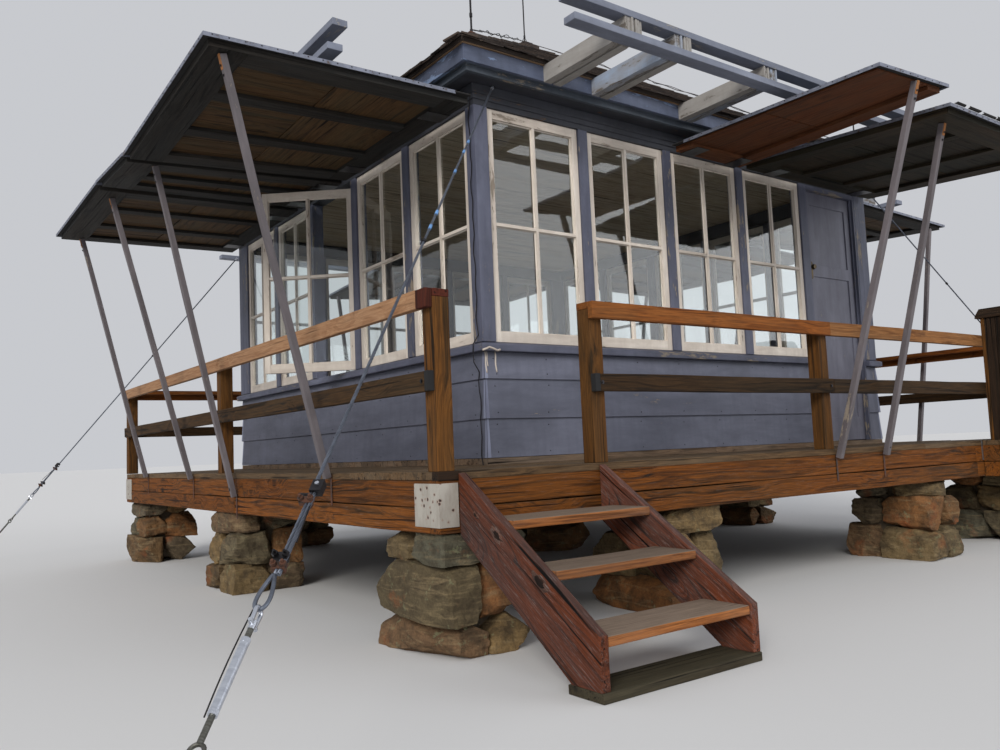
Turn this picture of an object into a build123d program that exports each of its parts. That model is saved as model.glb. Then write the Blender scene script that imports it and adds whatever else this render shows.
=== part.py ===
from build123d import *
import os
from math import hypot, radians, tan

# A glazed fire lookout cab, 14 ft square, on a low timber deck over stacked rock piers.
# X runs right along the door wall, whose outside faces -Y. Z is up from the lowest ground.
# The origin is under the middle of the cab. Millimetres.

os.makedirs("parts", exist_ok=True)

# Driving dimensions of the cab
CAB = 4267
HALF = CAB / 2
DECK_TOP = 845
FLOOR_TOP = 885
SIDING_TOP = FLOOR_TOP + 640
SILL_TOP = FLOOR_TOP + 700
SASH_TOP = FLOOR_TOP + 2175
CEILING = FLOOR_TOP + 2300
WALL = 110

# The four walls, each drawn as the front one and turned about Z
TURN = {"front": 0, "right": 90, "back": 180, "left": -90}
WINDOW_SIDES = ("right", "back", "left")

# Window bays: mullion centres along a wall, from its left end as seen from outside
POST_WIDTH = 80
POST_DEPTH = 95
CORNER_POST = 100
FRONT_POSTS = [-HALF + 889 + 815 * bay for bay in range(4)]
SIDE_POSTS = [HALF - 868 - 803 * bay for bay in range(4)]
SIDE_BAY_END = HALF - 4036
SASH_GAP = 2
SASH_IN = 15
SASH_DEPTH = 36
STILE = 46
TOP_RAIL = 60
BOTTOM_RAIL = 66
MUNTIN = 20
MUNTIN_DEPTH = 20
SASH_MIDDLE = FLOOR_TOP + 1440
GLASS = 4
OPEN_SASH = ("left", 2)
OPEN_SASH_ANGLE = 50
OPEN_SASH_TOP = FLOOR_TOP + 2116

# Door
DOOR_LEFT = -HALF + 3399
DOOR_RIGHT = -HALF + 4075
DOOR_TOP = FLOOR_TOP + 2130
DOOR_IN = 38
DOOR_THICK = 42
DOOR_GAP = 5
JAMB = 20
JAMB_DEPTH = 80
DOOR_STILE = 84
DOOR_RAILS = ((0, 200), (1400, 1500), (2020, 2130))
PANEL_DEEP = 10
HINGE_X = DOOR_RIGHT + 3
HINGE_Y = -HALF + 90
HINGE_R = 6
HINGE_LONG = 90
HINGE_FLAP = (18, 3)
HINGE_HEIGHTS = (250, 1080, 1900)

# Deck and its timber rim
WALK = 905
WALK_BACK = 800
BOARD = 38
RIM_TOP = DECK_TOP - BOARD
RIM_BOTTOM = 565
RIM_SEAM = 680
SEAM_GROOVE = 7
RIM_THICK = 90
JOIST = 48
JOIST_GAP = 560
PLATE_LEG = 212
PLATE_LEG_BY_STAIRS = 100
PLATE_SPAN = (595, 792)
PLATE_THICK = 4

# Railings
RAIL_POST = 90
RAIL_TOP = FLOOR_TOP + 795
RAIL_FACE = 90
RAIL_THICK = 38
MID_RAIL = (FLOOR_TOP + 325, FLOOR_TOP + 417)
STAIR_POST_X = -HALF + 80
MID_POST_X = -HALF + 2085
CAPPED_POST_LEFT = HALF - 70
CAPPED_POST_WIDE = 330
CAPPED_POST_DEEP = 190
CAPPED_POST_GAP = 2
CAPPED_POST_TOP = FLOOR_TOP + 930
CAP_SIDE = 20
CAP_END = 35
CAP_RISE = 75
CAP_SLOPE = 34
POST_BLOCK_SPREAD = 64
POST_BLOCK_PROUD = 22

# Stairs
STAIR_LEFT = -HALF - 800
STAIR_RIGHT = -HALF + 105
STRINGER = 45
TREAD_TOPS = (632, 446, 234)
TREAD_OUTS = (1250, 1521, 1800)
TREAD_DEEP = 255
TREAD_THICK = 40
STRINGER_DEEP = 285
STRINGER_TOE = 170
FOOT_PLATE = (200, 38)
FOOT_PLATE_NOSE = 7

# Roof
EAVE_OUT = 190
TRIM_OUT = 145
BOARD_THIN = 25
FASCIA = (FLOOR_TOP + 2337, FLOOR_TOP + 2440)
SOFFIT = 15
ROOF_OUT = 215
ROOF_PITCH = 32.6
ROOF_THICK = 60
BUTT = 22
RIDGE_CAP = 60

# Shutters: hinge edge, reach from it, skin over a sheet framed with flat boards
SHUTTER_OUT = 60
SHUTTER_TOP = FLOOR_TOP + 2200
SHUTTER_REACH = 1560
SHEET = 22
FRAME_BOARD = 26
EDGE_BOARD = 150
BATTEN = 95
SKIN_OVERHANG = 40
STRUT = 42
STRUT_GAP = 6
STRUT_GAP_UP = 10

# Rack over the eaves
OUTRIGGER = 60
OUTRIGGER_GAP = 16
OUTRIGGER_SPAN = (FLOOR_TOP + 2330, FLOOR_TOP + 2438)
OUTRIGGER_TIP = 930
OUTRIGGER_AT = (480, 884, 1710)
RACK_RAIL = 92
RACK_RAIL_THICK = 40
LOWER_RAIL_OUT = 872
UPPER_RAIL_OUT = 838


def block(x, y, z):
    """Adds a squared piece that fills three (low, high) spans."""
    with Locations(((x[0] + x[1]) / 2, (y[0] + y[1]) / 2, (z[0] + z[1]) / 2)):
        Box(x[1] - x[0], y[1] - y[0], z[1] - z[0])


def turned(side):
    """Where a wall drawn as the front one stands."""
    return Location((0, 0, 0), (0, 0, TURN[side]))


def moulding(side, start, end, points, mitred=False):
    """A run along a wall, with a section given as (distance out, height) points."""
    with BuildPart() as run:
        with BuildSketch(Plane.YZ.offset(start)):
            with BuildLine():
                Polyline(*[(-HALF - out, height) for out, height in points], close=True)
            make_face()
        extrude(amount=end - start)
        if mitred:
            with BuildSketch(Plane.XY):
                with BuildLine():
                    Polyline((0, 0), (-CAB, -CAB), (CAB, -CAB), close=True)
                make_face()
            extrude(amount=CAB, mode=Mode.INTERSECT)
    return run.part.moved(turned(side))


def save(piece, name):
    piece.label = name
    export_step(piece, f"parts/{name}.step")


# Rock piers: tapered stacks of field stone
PIER_X = (-HALF - 650, -1340, 1340, HALF + 650)
PIER_Y = (-HALF - 590, HALF + 490)
PIER_TOP = (440, 560)
PIER_FLARE = 1.16
PIER_CORNER = 65


def rock_pier(x, y):
    with BuildPart() as pier:
        with BuildSketch(Plane.XY) as foot:
            with Locations((x, y)):
                Rectangle(PIER_TOP[0] * PIER_FLARE, PIER_TOP[1] * PIER_FLARE)
            chamfer(foot.vertices(), PIER_CORNER)
        with BuildSketch(Plane.XY.offset(RIM_BOTTOM)) as head:
            with Locations((x, y)):
                Rectangle(*PIER_TOP)
            chamfer(head.vertices(), PIER_CORNER)
        loft()
    return pier.part


with BuildPart() as rock_piers:
    for pier_y in PIER_Y:
        for pier_x in PIER_X:
            add(rock_pier(pier_x, pier_y))
    for pier_x in (PIER_X[0], 0, PIER_X[-1]):
        add(rock_pier(pier_x, 0))
save(rock_piers.part, "rock_piers")

# Rim: two stacked timbers a side, with the seam between them as a groove
DECK_LEFT = -HALF - WALK
DECK_RIGHT = HALF + WALK
DECK_FRONT = -HALF - WALK
DECK_BACK = HALF + WALK_BACK


def rim(side, start, end, out):
    section = [
        (out - RIM_THICK, RIM_BOTTOM),
        (out, RIM_BOTTOM),
        (out, RIM_SEAM - SEAM_GROOVE),
        (out - SEAM_GROOVE, RIM_SEAM),
        (out, RIM_SEAM + SEAM_GROOVE),
        (out, RIM_TOP),
        (out - RIM_THICK, RIM_TOP),
    ]
    return moulding(side, start, end, section)


with BuildPart() as rim_front_back:
    add(rim("front", DECK_LEFT, DECK_RIGHT, WALK))
    add(rim("back", DECK_LEFT, DECK_RIGHT, WALK_BACK))
save(rim_front_back.part, "rim_front_back")

with BuildPart() as rim_sides:
    add(rim("left", -DECK_BACK + RIM_THICK, -DECK_FRONT - RIM_THICK, WALK))
    add(rim("right", DECK_FRONT + RIM_THICK, DECK_BACK - RIM_THICK, WALK))
save(rim_sides.part, "rim_sides")

# Corner plates: bent sheet nailed round the rim's corners
with BuildPart() as corner_plates:
    for sign_x in (-1, 1):
        for corner_y, sign_y in ((DECK_FRONT, -1), (DECK_BACK, 1)):
            corner_x = sign_x * DECK_RIGHT
            leg = PLATE_LEG_BY_STAIRS if sign_x + sign_y == -2 else PLATE_LEG
            with BuildSketch(Plane.XY.offset(PLATE_SPAN[0])):
                with BuildLine():
                    Polyline(
                        (corner_x, corner_y - sign_y * PLATE_LEG),
                        (corner_x + sign_x * PLATE_THICK, corner_y - sign_y * PLATE_LEG),
                        (corner_x + sign_x * PLATE_THICK, corner_y + sign_y * PLATE_THICK),
                        (corner_x - sign_x * leg, corner_y + sign_y * PLATE_THICK),
                        (corner_x - sign_x * leg, corner_y),
                        (corner_x, corner_y),
                        close=True,
                    )
                make_face()
            extrude(amount=PLATE_SPAN[1] - PLATE_SPAN[0])
save(corner_plates.part, "corner_plates")

# Joists under the deck and the cab
JOISTS = 9
with BuildPart() as floor_joists:
    for number in range(JOISTS):
        joist_x = (number - (JOISTS - 1) / 2) * JOIST_GAP
        block(
            (joist_x - JOIST / 2, joist_x + JOIST / 2),
            (DECK_FRONT + RIM_THICK, DECK_BACK - RIM_THICK),
            (RIM_BOTTOM, RIM_TOP),
        )
save(floor_joists.part, "floor_joists")

# Decking round the cab
with BuildPart() as deck_front_back:
    block((DECK_LEFT, DECK_RIGHT), (DECK_FRONT, -HALF), (RIM_TOP, DECK_TOP))
    block((DECK_LEFT, DECK_RIGHT), (HALF, DECK_BACK), (RIM_TOP, DECK_TOP))
save(deck_front_back.part, "deck_front_back")

with BuildPart() as deck_sides:
    block((DECK_LEFT, -HALF), (-HALF, HALF), (RIM_TOP, DECK_TOP))
    block((HALF, DECK_RIGHT), (-HALF, HALF), (RIM_TOP, DECK_TOP))
save(deck_sides.part, "deck_sides")

# Stairs: plank stringers cut plumb at the foot, open treads between them
STAIR_TOP = DECK_TOP - 8
STRINGER_FRONT = TREAD_OUTS[2] + 5
STRINGER_NOSE = TREAD_TOPS[2] + 6
STRINGER_FOOT = FOOT_PLATE[1]


def stringer(x):
    with BuildPart() as plank:
        with BuildSketch(Plane.YZ.offset(x)):
            with BuildLine():
                Polyline(
                    (-HALF - WALK, STAIR_TOP),
                    (-HALF - STRINGER_FRONT, STRINGER_NOSE),
                    (-HALF - STRINGER_FRONT, STRINGER_FOOT),
                    (-HALF - STRINGER_FRONT + STRINGER_TOE, STRINGER_FOOT),
                    (-HALF - WALK, STAIR_TOP - STRINGER_DEEP),
                    close=True,
                )
            make_face()
        extrude(amount=STRINGER)
    return plank.part


with BuildPart() as stair_stringers:
    add(stringer(STAIR_LEFT))
    add(stringer(STAIR_RIGHT - STRINGER))
save(stair_stringers.part, "stair_stringers")

with BuildPart() as stair_treads:
    for top, out in zip(TREAD_TOPS, TREAD_OUTS):
        block(
            (STAIR_LEFT + STRINGER, STAIR_RIGHT - STRINGER),
            (-HALF - out, -HALF - out + TREAD_DEEP),
            (top - TREAD_THICK, top),
        )
save(stair_treads.part, "stair_treads")

PLATE_FRONT = STRINGER_FRONT + FOOT_PLATE_NOSE
with BuildPart() as stair_foot_plate:
    block(
        (STAIR_LEFT, STAIR_RIGHT),
        (-HALF - PLATE_FRONT, -HALF - PLATE_FRONT + FOOT_PLATE[0]),
        (0, FOOT_PLATE[1]),
    )
save(stair_foot_plate.part, "stair_foot_plate")

# Railing posts, flush with the rim
POST_TOP = RAIL_TOP - RAIL_THICK
CORNER_POST_AT = RAIL_POST / 2
with BuildPart() as railing_posts:
    with BuildSketch(Plane.XY.offset(DECK_TOP)):
        with Locations(
            (DECK_LEFT + CORNER_POST_AT, DECK_FRONT + CORNER_POST_AT),
            (DECK_RIGHT - CORNER_POST_AT, DECK_FRONT + CORNER_POST_AT),
            (DECK_LEFT + CORNER_POST_AT, DECK_BACK - CORNER_POST_AT),
            (DECK_RIGHT - CORNER_POST_AT, DECK_BACK - CORNER_POST_AT),
            (STAIR_POST_X, DECK_FRONT + CORNER_POST_AT),
            (MID_POST_X, DECK_FRONT + CORNER_POST_AT),
            (0, DECK_BACK - CORNER_POST_AT),
            (DECK_LEFT + CORNER_POST_AT, 0),
            (DECK_RIGHT - CORNER_POST_AT, 0),
        ):
            Rectangle(RAIL_POST, RAIL_POST)
    extrude(amount=POST_TOP - DECK_TOP)
save(railing_posts.part, "railing_posts")

# Boxed post with a hipped cap, in front of the railing on a block bolted to the rim
CAPPED_RIGHT = CAPPED_POST_LEFT + CAPPED_POST_WIDE
CAPPED_BACK = DECK_FRONT - RAIL_THICK - CAPPED_POST_GAP
CAPPED_FRONT = CAPPED_BACK - CAPPED_POST_DEEP
CAP_LEFT = CAPPED_POST_LEFT - CAP_SIDE
CAP_RIGHT = CAPPED_RIGHT + CAP_SIDE
with BuildPart() as post_block:
    block(
        (CAPPED_POST_LEFT - POST_BLOCK_SPREAD, CAPPED_RIGHT + POST_BLOCK_SPREAD),
        (CAPPED_FRONT - POST_BLOCK_PROUD, DECK_FRONT),
        (RIM_BOTTOM, DECK_TOP),
    )
save(post_block.part, "post_block")

with BuildPart() as capped_post:
    block((CAPPED_POST_LEFT, CAPPED_RIGHT), (CAPPED_FRONT, CAPPED_BACK), (DECK_TOP, CAPPED_POST_TOP))
    with BuildSketch(Plane.YZ.offset(CAP_LEFT)):
        with BuildLine():
            Polyline(
                (CAPPED_BACK + CAP_END, CAPPED_POST_TOP),
                (CAPPED_BACK + CAP_END - CAP_SLOPE, CAPPED_POST_TOP + CAP_RISE),
                (CAPPED_FRONT - CAP_END + CAP_SLOPE, CAPPED_POST_TOP + CAP_RISE),
                (CAPPED_FRONT - CAP_END, CAPPED_POST_TOP),
                close=True,
            )
        make_face()
    extrude(amount=CAP_RIGHT - CAP_LEFT)
save(capped_post.part, "capped_post")


# Railings: a flat cap with a plank on edge below its outer side, and a bolted middle rail
def top_rail(side, start, end, out):
    section = [
        (out + RAIL_THICK, RAIL_TOP),
        (out + RAIL_THICK, RAIL_TOP - RAIL_FACE),
        (out, RAIL_TOP - RAIL_FACE),
        (out, POST_TOP),
        (out - RAIL_POST, POST_TOP),
        (out - RAIL_POST, RAIL_TOP),
    ]
    return moulding(side, start, end, section)


def middle_rail(side, start, end, out):
    low, high = MID_RAIL
    face = out + RAIL_THICK
    return moulding(side, start, end, [(out, low), (face, low), (face, high), (out, high)])


FRONT_RAIL_START = STAIR_POST_X - CORNER_POST_AT
with BuildPart() as railing_front_back:
    add(top_rail("front", FRONT_RAIL_START, DECK_RIGHT, WALK))
    add(middle_rail("front", FRONT_RAIL_START, DECK_RIGHT, WALK))
    add(top_rail("back", DECK_LEFT, DECK_RIGHT, WALK_BACK))
    add(middle_rail("back", DECK_LEFT, DECK_RIGHT, WALK_BACK))
save(railing_front_back.part, "railing_front_back")

SIDE_RAIL_BACK = DECK_BACK - RAIL_POST
with BuildPart() as railing_left:
    add(top_rail("left", -SIDE_RAIL_BACK, -DECK_FRONT, WALK))
    add(middle_rail("left", -SIDE_RAIL_BACK, -DECK_FRONT, WALK))
save(railing_left.part, "railing_left")

with BuildPart() as railing_right:
    add(top_rail("right", DECK_FRONT + RAIL_POST, SIDE_RAIL_BACK, WALK))
    add(middle_rail("right", DECK_FRONT + RAIL_POST, SIDE_RAIL_BACK, WALK))
save(railing_right.part, "railing_right")

# Cab floor
with BuildPart() as cab_floor:
    block((-HALF, HALF), (-HALF, HALF), (RIM_TOP, FLOOR_TOP))
save(cab_floor.part, "cab_floor")

# Walls under the windows: wide lap siding, each course slanting in to the butt of the next
COURSES = (FLOOR_TOP, FLOOR_TOP + 235, FLOOR_TOP + 476)
LAP = 13


def siding_wall(side, start, end, mitred=True):
    section = [(-WALL, FLOOR_TOP)]
    for low, high in zip(COURSES, COURSES[1:] + (SIDING_TOP,)):
        section.append((0, low))
        section.append((-LAP, high))
    section.append((-WALL, SIDING_TOP))
    return moulding(side, start, end, section, mitred)


DOOR_FRAME_LEFT = DOOR_LEFT - DOOR_GAP - JAMB
DOOR_FRAME_RIGHT = DOOR_RIGHT + DOOR_GAP + JAMB
save(siding_wall("front", -HALF, DOOR_FRAME_LEFT), "front_wall")
save(siding_wall("front", DOOR_FRAME_RIGHT, HALF), "front_wall_by_door")
for wall_side in WINDOW_SIDES:
    save(siding_wall(wall_side, -HALF, HALF), f"{wall_side}_wall")

# Sills under the windows
SILL_NOSE = 35
SILL_FALL = 16
SILL_SECTION = [
    (-WALL, SIDING_TOP),
    (SILL_NOSE, SIDING_TOP),
    (SILL_NOSE, SILL_TOP - SILL_FALL),
    (-SASH_IN, SILL_TOP),
    (-WALL, SILL_TOP),
]
SILL_END = HALF + SILL_NOSE
with BuildPart() as sills_front_back:
    add(moulding("front", -SILL_END, DOOR_FRAME_LEFT, SILL_SECTION, True))
    add(moulding("front", DOOR_FRAME_RIGHT, SILL_END, SILL_SECTION, True))
    add(moulding("back", -SILL_END, SILL_END, SILL_SECTION, True))
save(sills_front_back.part, "sills_front_back")

with BuildPart() as sills_sides:
    for wall_side in ("left", "right"):
        add(moulding(wall_side, -SILL_END, SILL_END, SILL_SECTION, True))
save(sills_sides.part, "sills_sides")

# Heads over the windows: a frieze that steps in to the sashes
HEAD_SECTION = [
    (-WALL, SASH_TOP),
    (0, SASH_TOP),
    (0, SASH_TOP + 32),
    (10, SASH_TOP + 36),
    (10, SASH_TOP + 66),
    (20, SASH_TOP + 70),
    (20, CEILING),
    (-WALL, CEILING),
]
HEAD_END = HALF + 20
with BuildPart() as heads_front_back:
    for wall_side in ("front", "back"):
        add(moulding(wall_side, -HEAD_END, HEAD_END, HEAD_SECTION, True))
save(heads_front_back.part, "heads_front_back")

with BuildPart() as heads_sides:
    for wall_side in ("left", "right"):
        add(moulding(wall_side, -HEAD_END, HEAD_END, HEAD_SECTION, True))
save(heads_sides.part, "heads_sides")

# Posts between the sills and the heads
with BuildPart() as corner_posts:
    post_at = HALF - CORNER_POST / 2
    with BuildSketch(Plane.XY.offset(SILL_TOP)):
        with Locations((-post_at, -post_at), (post_at, -post_at), (-post_at, post_at), (post_at, post_at)):
            Rectangle(CORNER_POST, CORNER_POST)
    extrude(amount=SASH_TOP - SILL_TOP)
save(corner_posts.part, "corner_posts")


def mullions(side, centres, extra):
    with BuildPart() as posts:
        spans = [(centre - POST_WIDTH / 2, centre + POST_WIDTH / 2) for centre in centres] + extra
        for span in spans:
            block(span, (-HALF, -HALF + POST_DEPTH), (SILL_TOP, SASH_TOP))
    return posts.part.moved(turned(side))


with BuildPart() as window_posts:
    add(mullions("front", FRONT_POSTS, [(DOOR_FRAME_RIGHT, HALF - CORNER_POST)]))
    for wall_side in WINDOW_SIDES:
        add(mullions(wall_side, SIDE_POSTS, [(-HALF + CORNER_POST, SIDE_BAY_END)]))
save(window_posts.part, "window_posts")

# Sashes: two panes by two, the muntins in front of one sheet of glass
FRONT_BAYS = list(
    zip(
        [-HALF + CORNER_POST] + [post + POST_WIDTH / 2 for post in FRONT_POSTS[:-1]],
        [post - POST_WIDTH / 2 for post in FRONT_POSTS],
    )
)
SIDE_BAYS = list(
    zip(
        [post + POST_WIDTH / 2 for post in SIDE_POSTS] + [SIDE_BAY_END],
        [HALF - CORNER_POST] + [post - POST_WIDTH / 2 for post in SIDE_POSTS],
    )
)
SASH_LOW = SILL_TOP + SASH_GAP
SASH_HIGH = SASH_TOP - SASH_GAP
LIGHT_LOW = SASH_LOW + BOTTOM_RAIL


def sash_frame(bay, top):
    left = bay[0] + SASH_GAP
    right = bay[1] - SASH_GAP
    middle = (left + right) / 2
    light_top = top - TOP_RAIL
    with BuildPart() as sash:
        with BuildSketch(Plane.XZ.offset(HALF - SASH_IN)):
            with Locations((middle, (SASH_LOW + top) / 2)):
                Rectangle(right - left, top - SASH_LOW)
            with Locations((middle, (LIGHT_LOW + light_top) / 2)):
                Rectangle(right - left - 2 * STILE, light_top - LIGHT_LOW, mode=Mode.SUBTRACT)
        extrude(amount=-SASH_DEPTH)
        with BuildSketch(Plane.XZ.offset(HALF - SASH_IN)):
            with Locations((middle, (LIGHT_LOW + light_top) / 2)):
                Rectangle(MUNTIN, light_top - LIGHT_LOW)
            with Locations((middle, SASH_MIDDLE)):
                Rectangle(right - left - 2 * STILE, MUNTIN)
        extrude(amount=-MUNTIN_DEPTH)
    return sash.part


def sash_glass(bay, top):
    left = bay[0] + SASH_GAP + STILE
    right = bay[1] - SASH_GAP - STILE
    with BuildPart() as sheet:
        face = -HALF + SASH_IN + MUNTIN_DEPTH
        block((left, right), (face, face + GLASS), (LIGHT_LOW, top - TOP_RAIL))
    return sheet.part


def in_wall(make, side, number, bay):
    """A sash or its glass, in place; the one that stands open turns out on its right-hand stile."""
    if (side, number) == OPEN_SASH:
        pivot = Axis((bay[1] - SASH_GAP, -HALF + SASH_IN, 0), (0, 0, 1))
        piece = make(bay, OPEN_SASH_TOP).rotate(pivot, OPEN_SASH_ANGLE)
    else:
        piece = make(bay, SASH_HIGH)
    return piece.moved(turned(side))


BAYS = {"front": FRONT_BAYS, "right": SIDE_BAYS, "back": SIDE_BAYS, "left": SIDE_BAYS}
for wall_side, bays in BAYS.items():
    with BuildPart() as sashes:
        for number, bay in enumerate(bays):
            add(in_wall(sash_frame, wall_side, number, bay))
    save(sashes.part, f"{wall_side}_sashes")

with BuildPart() as window_glass:
    for wall_side, bays in BAYS.items():
        for number, bay in enumerate(bays):
            add(in_wall(sash_glass, wall_side, number, bay))
save(window_glass.part, "window_glass")

# Door frame, leaf, latch and hinges
JAMB_FRONT = -HALF + 2
STOP_THICK = 12
STOP_WIDE = 14
with BuildPart() as door_jambs:
    for inner, outer, stop in (
        (DOOR_LEFT - DOOR_GAP, DOOR_FRAME_LEFT, DOOR_LEFT + STOP_WIDE),
        (DOOR_RIGHT + DOOR_GAP, DOOR_FRAME_RIGHT, DOOR_RIGHT - STOP_WIDE),
    ):
        block(sorted((inner, outer)), (JAMB_FRONT, -HALF + JAMB_DEPTH), (FLOOR_TOP, SASH_TOP))
        block(
            sorted((inner, stop)),
            (-HALF + DOOR_IN - DOOR_GAP - STOP_THICK, -HALF + DOOR_IN - DOOR_GAP),
            (FLOOR_TOP, DOOR_TOP + DOOR_GAP),
        )
save(door_jambs.part, "door_jambs")

with BuildPart() as door_head:
    block(
        (DOOR_LEFT - DOOR_GAP, DOOR_RIGHT + DOOR_GAP),
        (JAMB_FRONT, -HALF + JAMB_DEPTH),
        (DOOR_TOP + DOOR_GAP, SASH_TOP),
    )
save(door_head.part, "door_head")

with BuildPart() as door_leaf:
    face = HALF - DOOR_IN
    low = FLOOR_TOP + DOOR_GAP
    with BuildSketch(Plane.XZ.offset(face)):
        with Locations(((DOOR_LEFT + DOOR_RIGHT) / 2, (low + DOOR_TOP) / 2)):
            Rectangle(DOOR_RIGHT - DOOR_LEFT, DOOR_TOP - low)
    extrude(amount=-DOOR_THICK)
    for lower, upper in zip(DOOR_RAILS, DOOR_RAILS[1:]):
        high = FLOOR_TOP + upper[0]
        bottom = FLOOR_TOP + lower[1]
        for depth, amount in ((0, -PANEL_DEEP), (DOOR_THICK, PANEL_DEEP)):
            with BuildSketch(Plane.XZ.offset(face - depth)):
                with Locations(((DOOR_LEFT + DOOR_RIGHT) / 2, (bottom + high) / 2)):
                    Rectangle(DOOR_RIGHT - DOOR_LEFT - 2 * DOOR_STILE, high - bottom)
            extrude(amount=amount, mode=Mode.SUBTRACT)
save(door_leaf.part, "door_leaf")

LATCH_X = DOOR_LEFT + 50
LATCH_Z = FLOOR_TOP + 1450
LATCH_PLATE = (150, 34, 3)
KNOB_UP = 25
KNOB_STEM = (9, 14)
KNOB = (24, 20)
KNOB_TAPER = 14
with BuildPart() as door_latch:
    for depth, outward in ((0, 1), (DOOR_THICK, -1)):
        plane = Plane.XZ.offset(HALF - DOOR_IN - depth)
        stem_plane = plane.offset(outward * LATCH_PLATE[2])
        with BuildSketch(plane):
            with Locations((LATCH_X, LATCH_Z)):
                SlotOverall(LATCH_PLATE[0], LATCH_PLATE[1], rotation=90)
        extrude(amount=outward * LATCH_PLATE[2])
        with BuildSketch(stem_plane):
            with Locations((LATCH_X, LATCH_Z + KNOB_UP)):
                Circle(KNOB_STEM[0])
        extrude(amount=outward * KNOB_STEM[1])
        with BuildSketch(stem_plane.offset(outward * KNOB_STEM[1])):
            with Locations((LATCH_X, LATCH_Z + KNOB_UP)):
                Circle(KNOB[0])
        extrude(amount=outward * KNOB[1], taper=KNOB_TAPER)
save(door_latch.part, "door_latch")

with BuildPart() as door_hinges:
    for height in HINGE_HEIGHTS:
        with BuildSketch(Plane.XY.offset(FLOOR_TOP + height)):
            with Locations((HINGE_X, HINGE_Y)):
                Circle(HINGE_R)
            with Locations((HINGE_X + HINGE_FLAP[0] / 2, HINGE_Y - HINGE_R - HINGE_FLAP[1] / 2)):
                Rectangle(*HINGE_FLAP)
        extrude(amount=HINGE_LONG)
save(door_hinges.part, "door_hinges")

# Eaves: soffit, inner trim and fascia as one boarded ring
EAVE_LEDGE = FASCIA[0] + 12
with BuildPart() as eaves:
    for outer, inner, low, high in (
        (TRIM_OUT, -WALL, CEILING, CEILING + SOFFIT),
        (TRIM_OUT, TRIM_OUT - BOARD_THIN, CEILING, EAVE_LEDGE),
        (EAVE_OUT, TRIM_OUT - BOARD_THIN, FASCIA[0], EAVE_LEDGE),
        (EAVE_OUT, EAVE_OUT - BOARD_THIN, FASCIA[0], FASCIA[1]),
    ):
        with BuildSketch(Plane.XY.offset(low)):
            Rectangle(CAB + 2 * outer, CAB + 2 * outer)
            Rectangle(CAB + 2 * inner, CAB + 2 * inner, mode=Mode.SUBTRACT)
        extrude(amount=high - low)
save(eaves.part, "eaves")

with BuildPart() as ceiling:
    room = HALF - WALL
    block((-room, room), (-room, room), (CEILING, CEILING + SOFFIT))
save(ceiling.part, "ceiling")

# Roof: a hollow four-sided pyramid
ROOF_HALF = HALF + ROOF_OUT
ROOF_RISE = (ROOF_HALF - RIDGE_CAP) * tan(radians(ROOF_PITCH))
ROOF_LOW = FASCIA[1]
ROOF_PEAK = ROOF_LOW + BUTT + ROOF_RISE
VOID_HALF = ROOF_HALF - ROOF_THICK / tan(radians(ROOF_PITCH))
VOID_RISE = (VOID_HALF - RIDGE_CAP) * tan(radians(ROOF_PITCH))
with BuildPart() as roof:
    with BuildSketch(Plane.XY.offset(ROOF_LOW)):
        Rectangle(2 * ROOF_HALF, 2 * ROOF_HALF)
    extrude(amount=BUTT)
    with BuildSketch(Plane.XY.offset(ROOF_LOW + BUTT)):
        Rectangle(2 * ROOF_HALF, 2 * ROOF_HALF)
    with BuildSketch(Plane.XY.offset(ROOF_PEAK)):
        Rectangle(2 * RIDGE_CAP, 2 * RIDGE_CAP)
    loft()
    with BuildSketch(Plane.XY.offset(ROOF_LOW)):
        Rectangle(2 * VOID_HALF, 2 * VOID_HALF)
    with BuildSketch(Plane.XY.offset(ROOF_LOW + VOID_RISE)):
        Rectangle(2 * RIDGE_CAP, 2 * RIDGE_CAP)
    loft(mode=Mode.SUBTRACT)
save(roof.part, "roof")

# Lightning rods: one near each hip's foot and one on the peak
ROD_IN = 240
ROD_LONG = 600
PEAK_ROD_LONG = 720
ROD_R = 6
ROD_FOOT = (70, 34)
ROD_FOOT_LIFT = 2
CLAMP = (11, 26)
CLAMP_UP = 120
PEAK_FLANGE = (52, 10)
ROD_FOOT_Z = ROOF_LOW + BUTT + ROD_IN * tan(radians(ROOF_PITCH)) + ROD_FOOT_LIFT
ROD_AT = ROOF_HALF - ROD_IN
with BuildPart() as lightning_rods:
    for sign_x in (-1, 1):
        for sign_y in (-1, 1):
            with BuildSketch(Plane.XY.offset(ROD_FOOT_Z)):
                with Locations((sign_x * ROD_AT, sign_y * ROD_AT)):
                    Rectangle(ROD_FOOT[0], ROD_FOOT[0])
            extrude(amount=ROD_FOOT[1])
            with BuildSketch(Plane.XY.offset(ROD_FOOT_Z + ROD_FOOT[1])):
                with Locations((sign_x * ROD_AT, sign_y * ROD_AT)):
                    Circle(ROD_R)
            extrude(amount=ROD_LONG)
            with BuildSketch(Plane.XY.offset(ROD_FOOT_Z + CLAMP_UP)):
                with Locations((sign_x * ROD_AT, sign_y * ROD_AT)):
                    Circle(CLAMP[0])
            extrude(amount=CLAMP[1])
    with BuildSketch(Plane.XY.offset(ROOF_PEAK)):
        Circle(PEAK_FLANGE[0])
    extrude(amount=PEAK_FLANGE[1])
    with BuildSketch(Plane.XY.offset(ROOF_PEAK + PEAK_FLANGE[1])):
        Circle(ROD_R)
    extrude(amount=PEAK_ROD_LONG)
    add(roof.part, mode=Mode.SUBTRACT)
save(lightning_rods.part, "lightning_rods")

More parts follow.
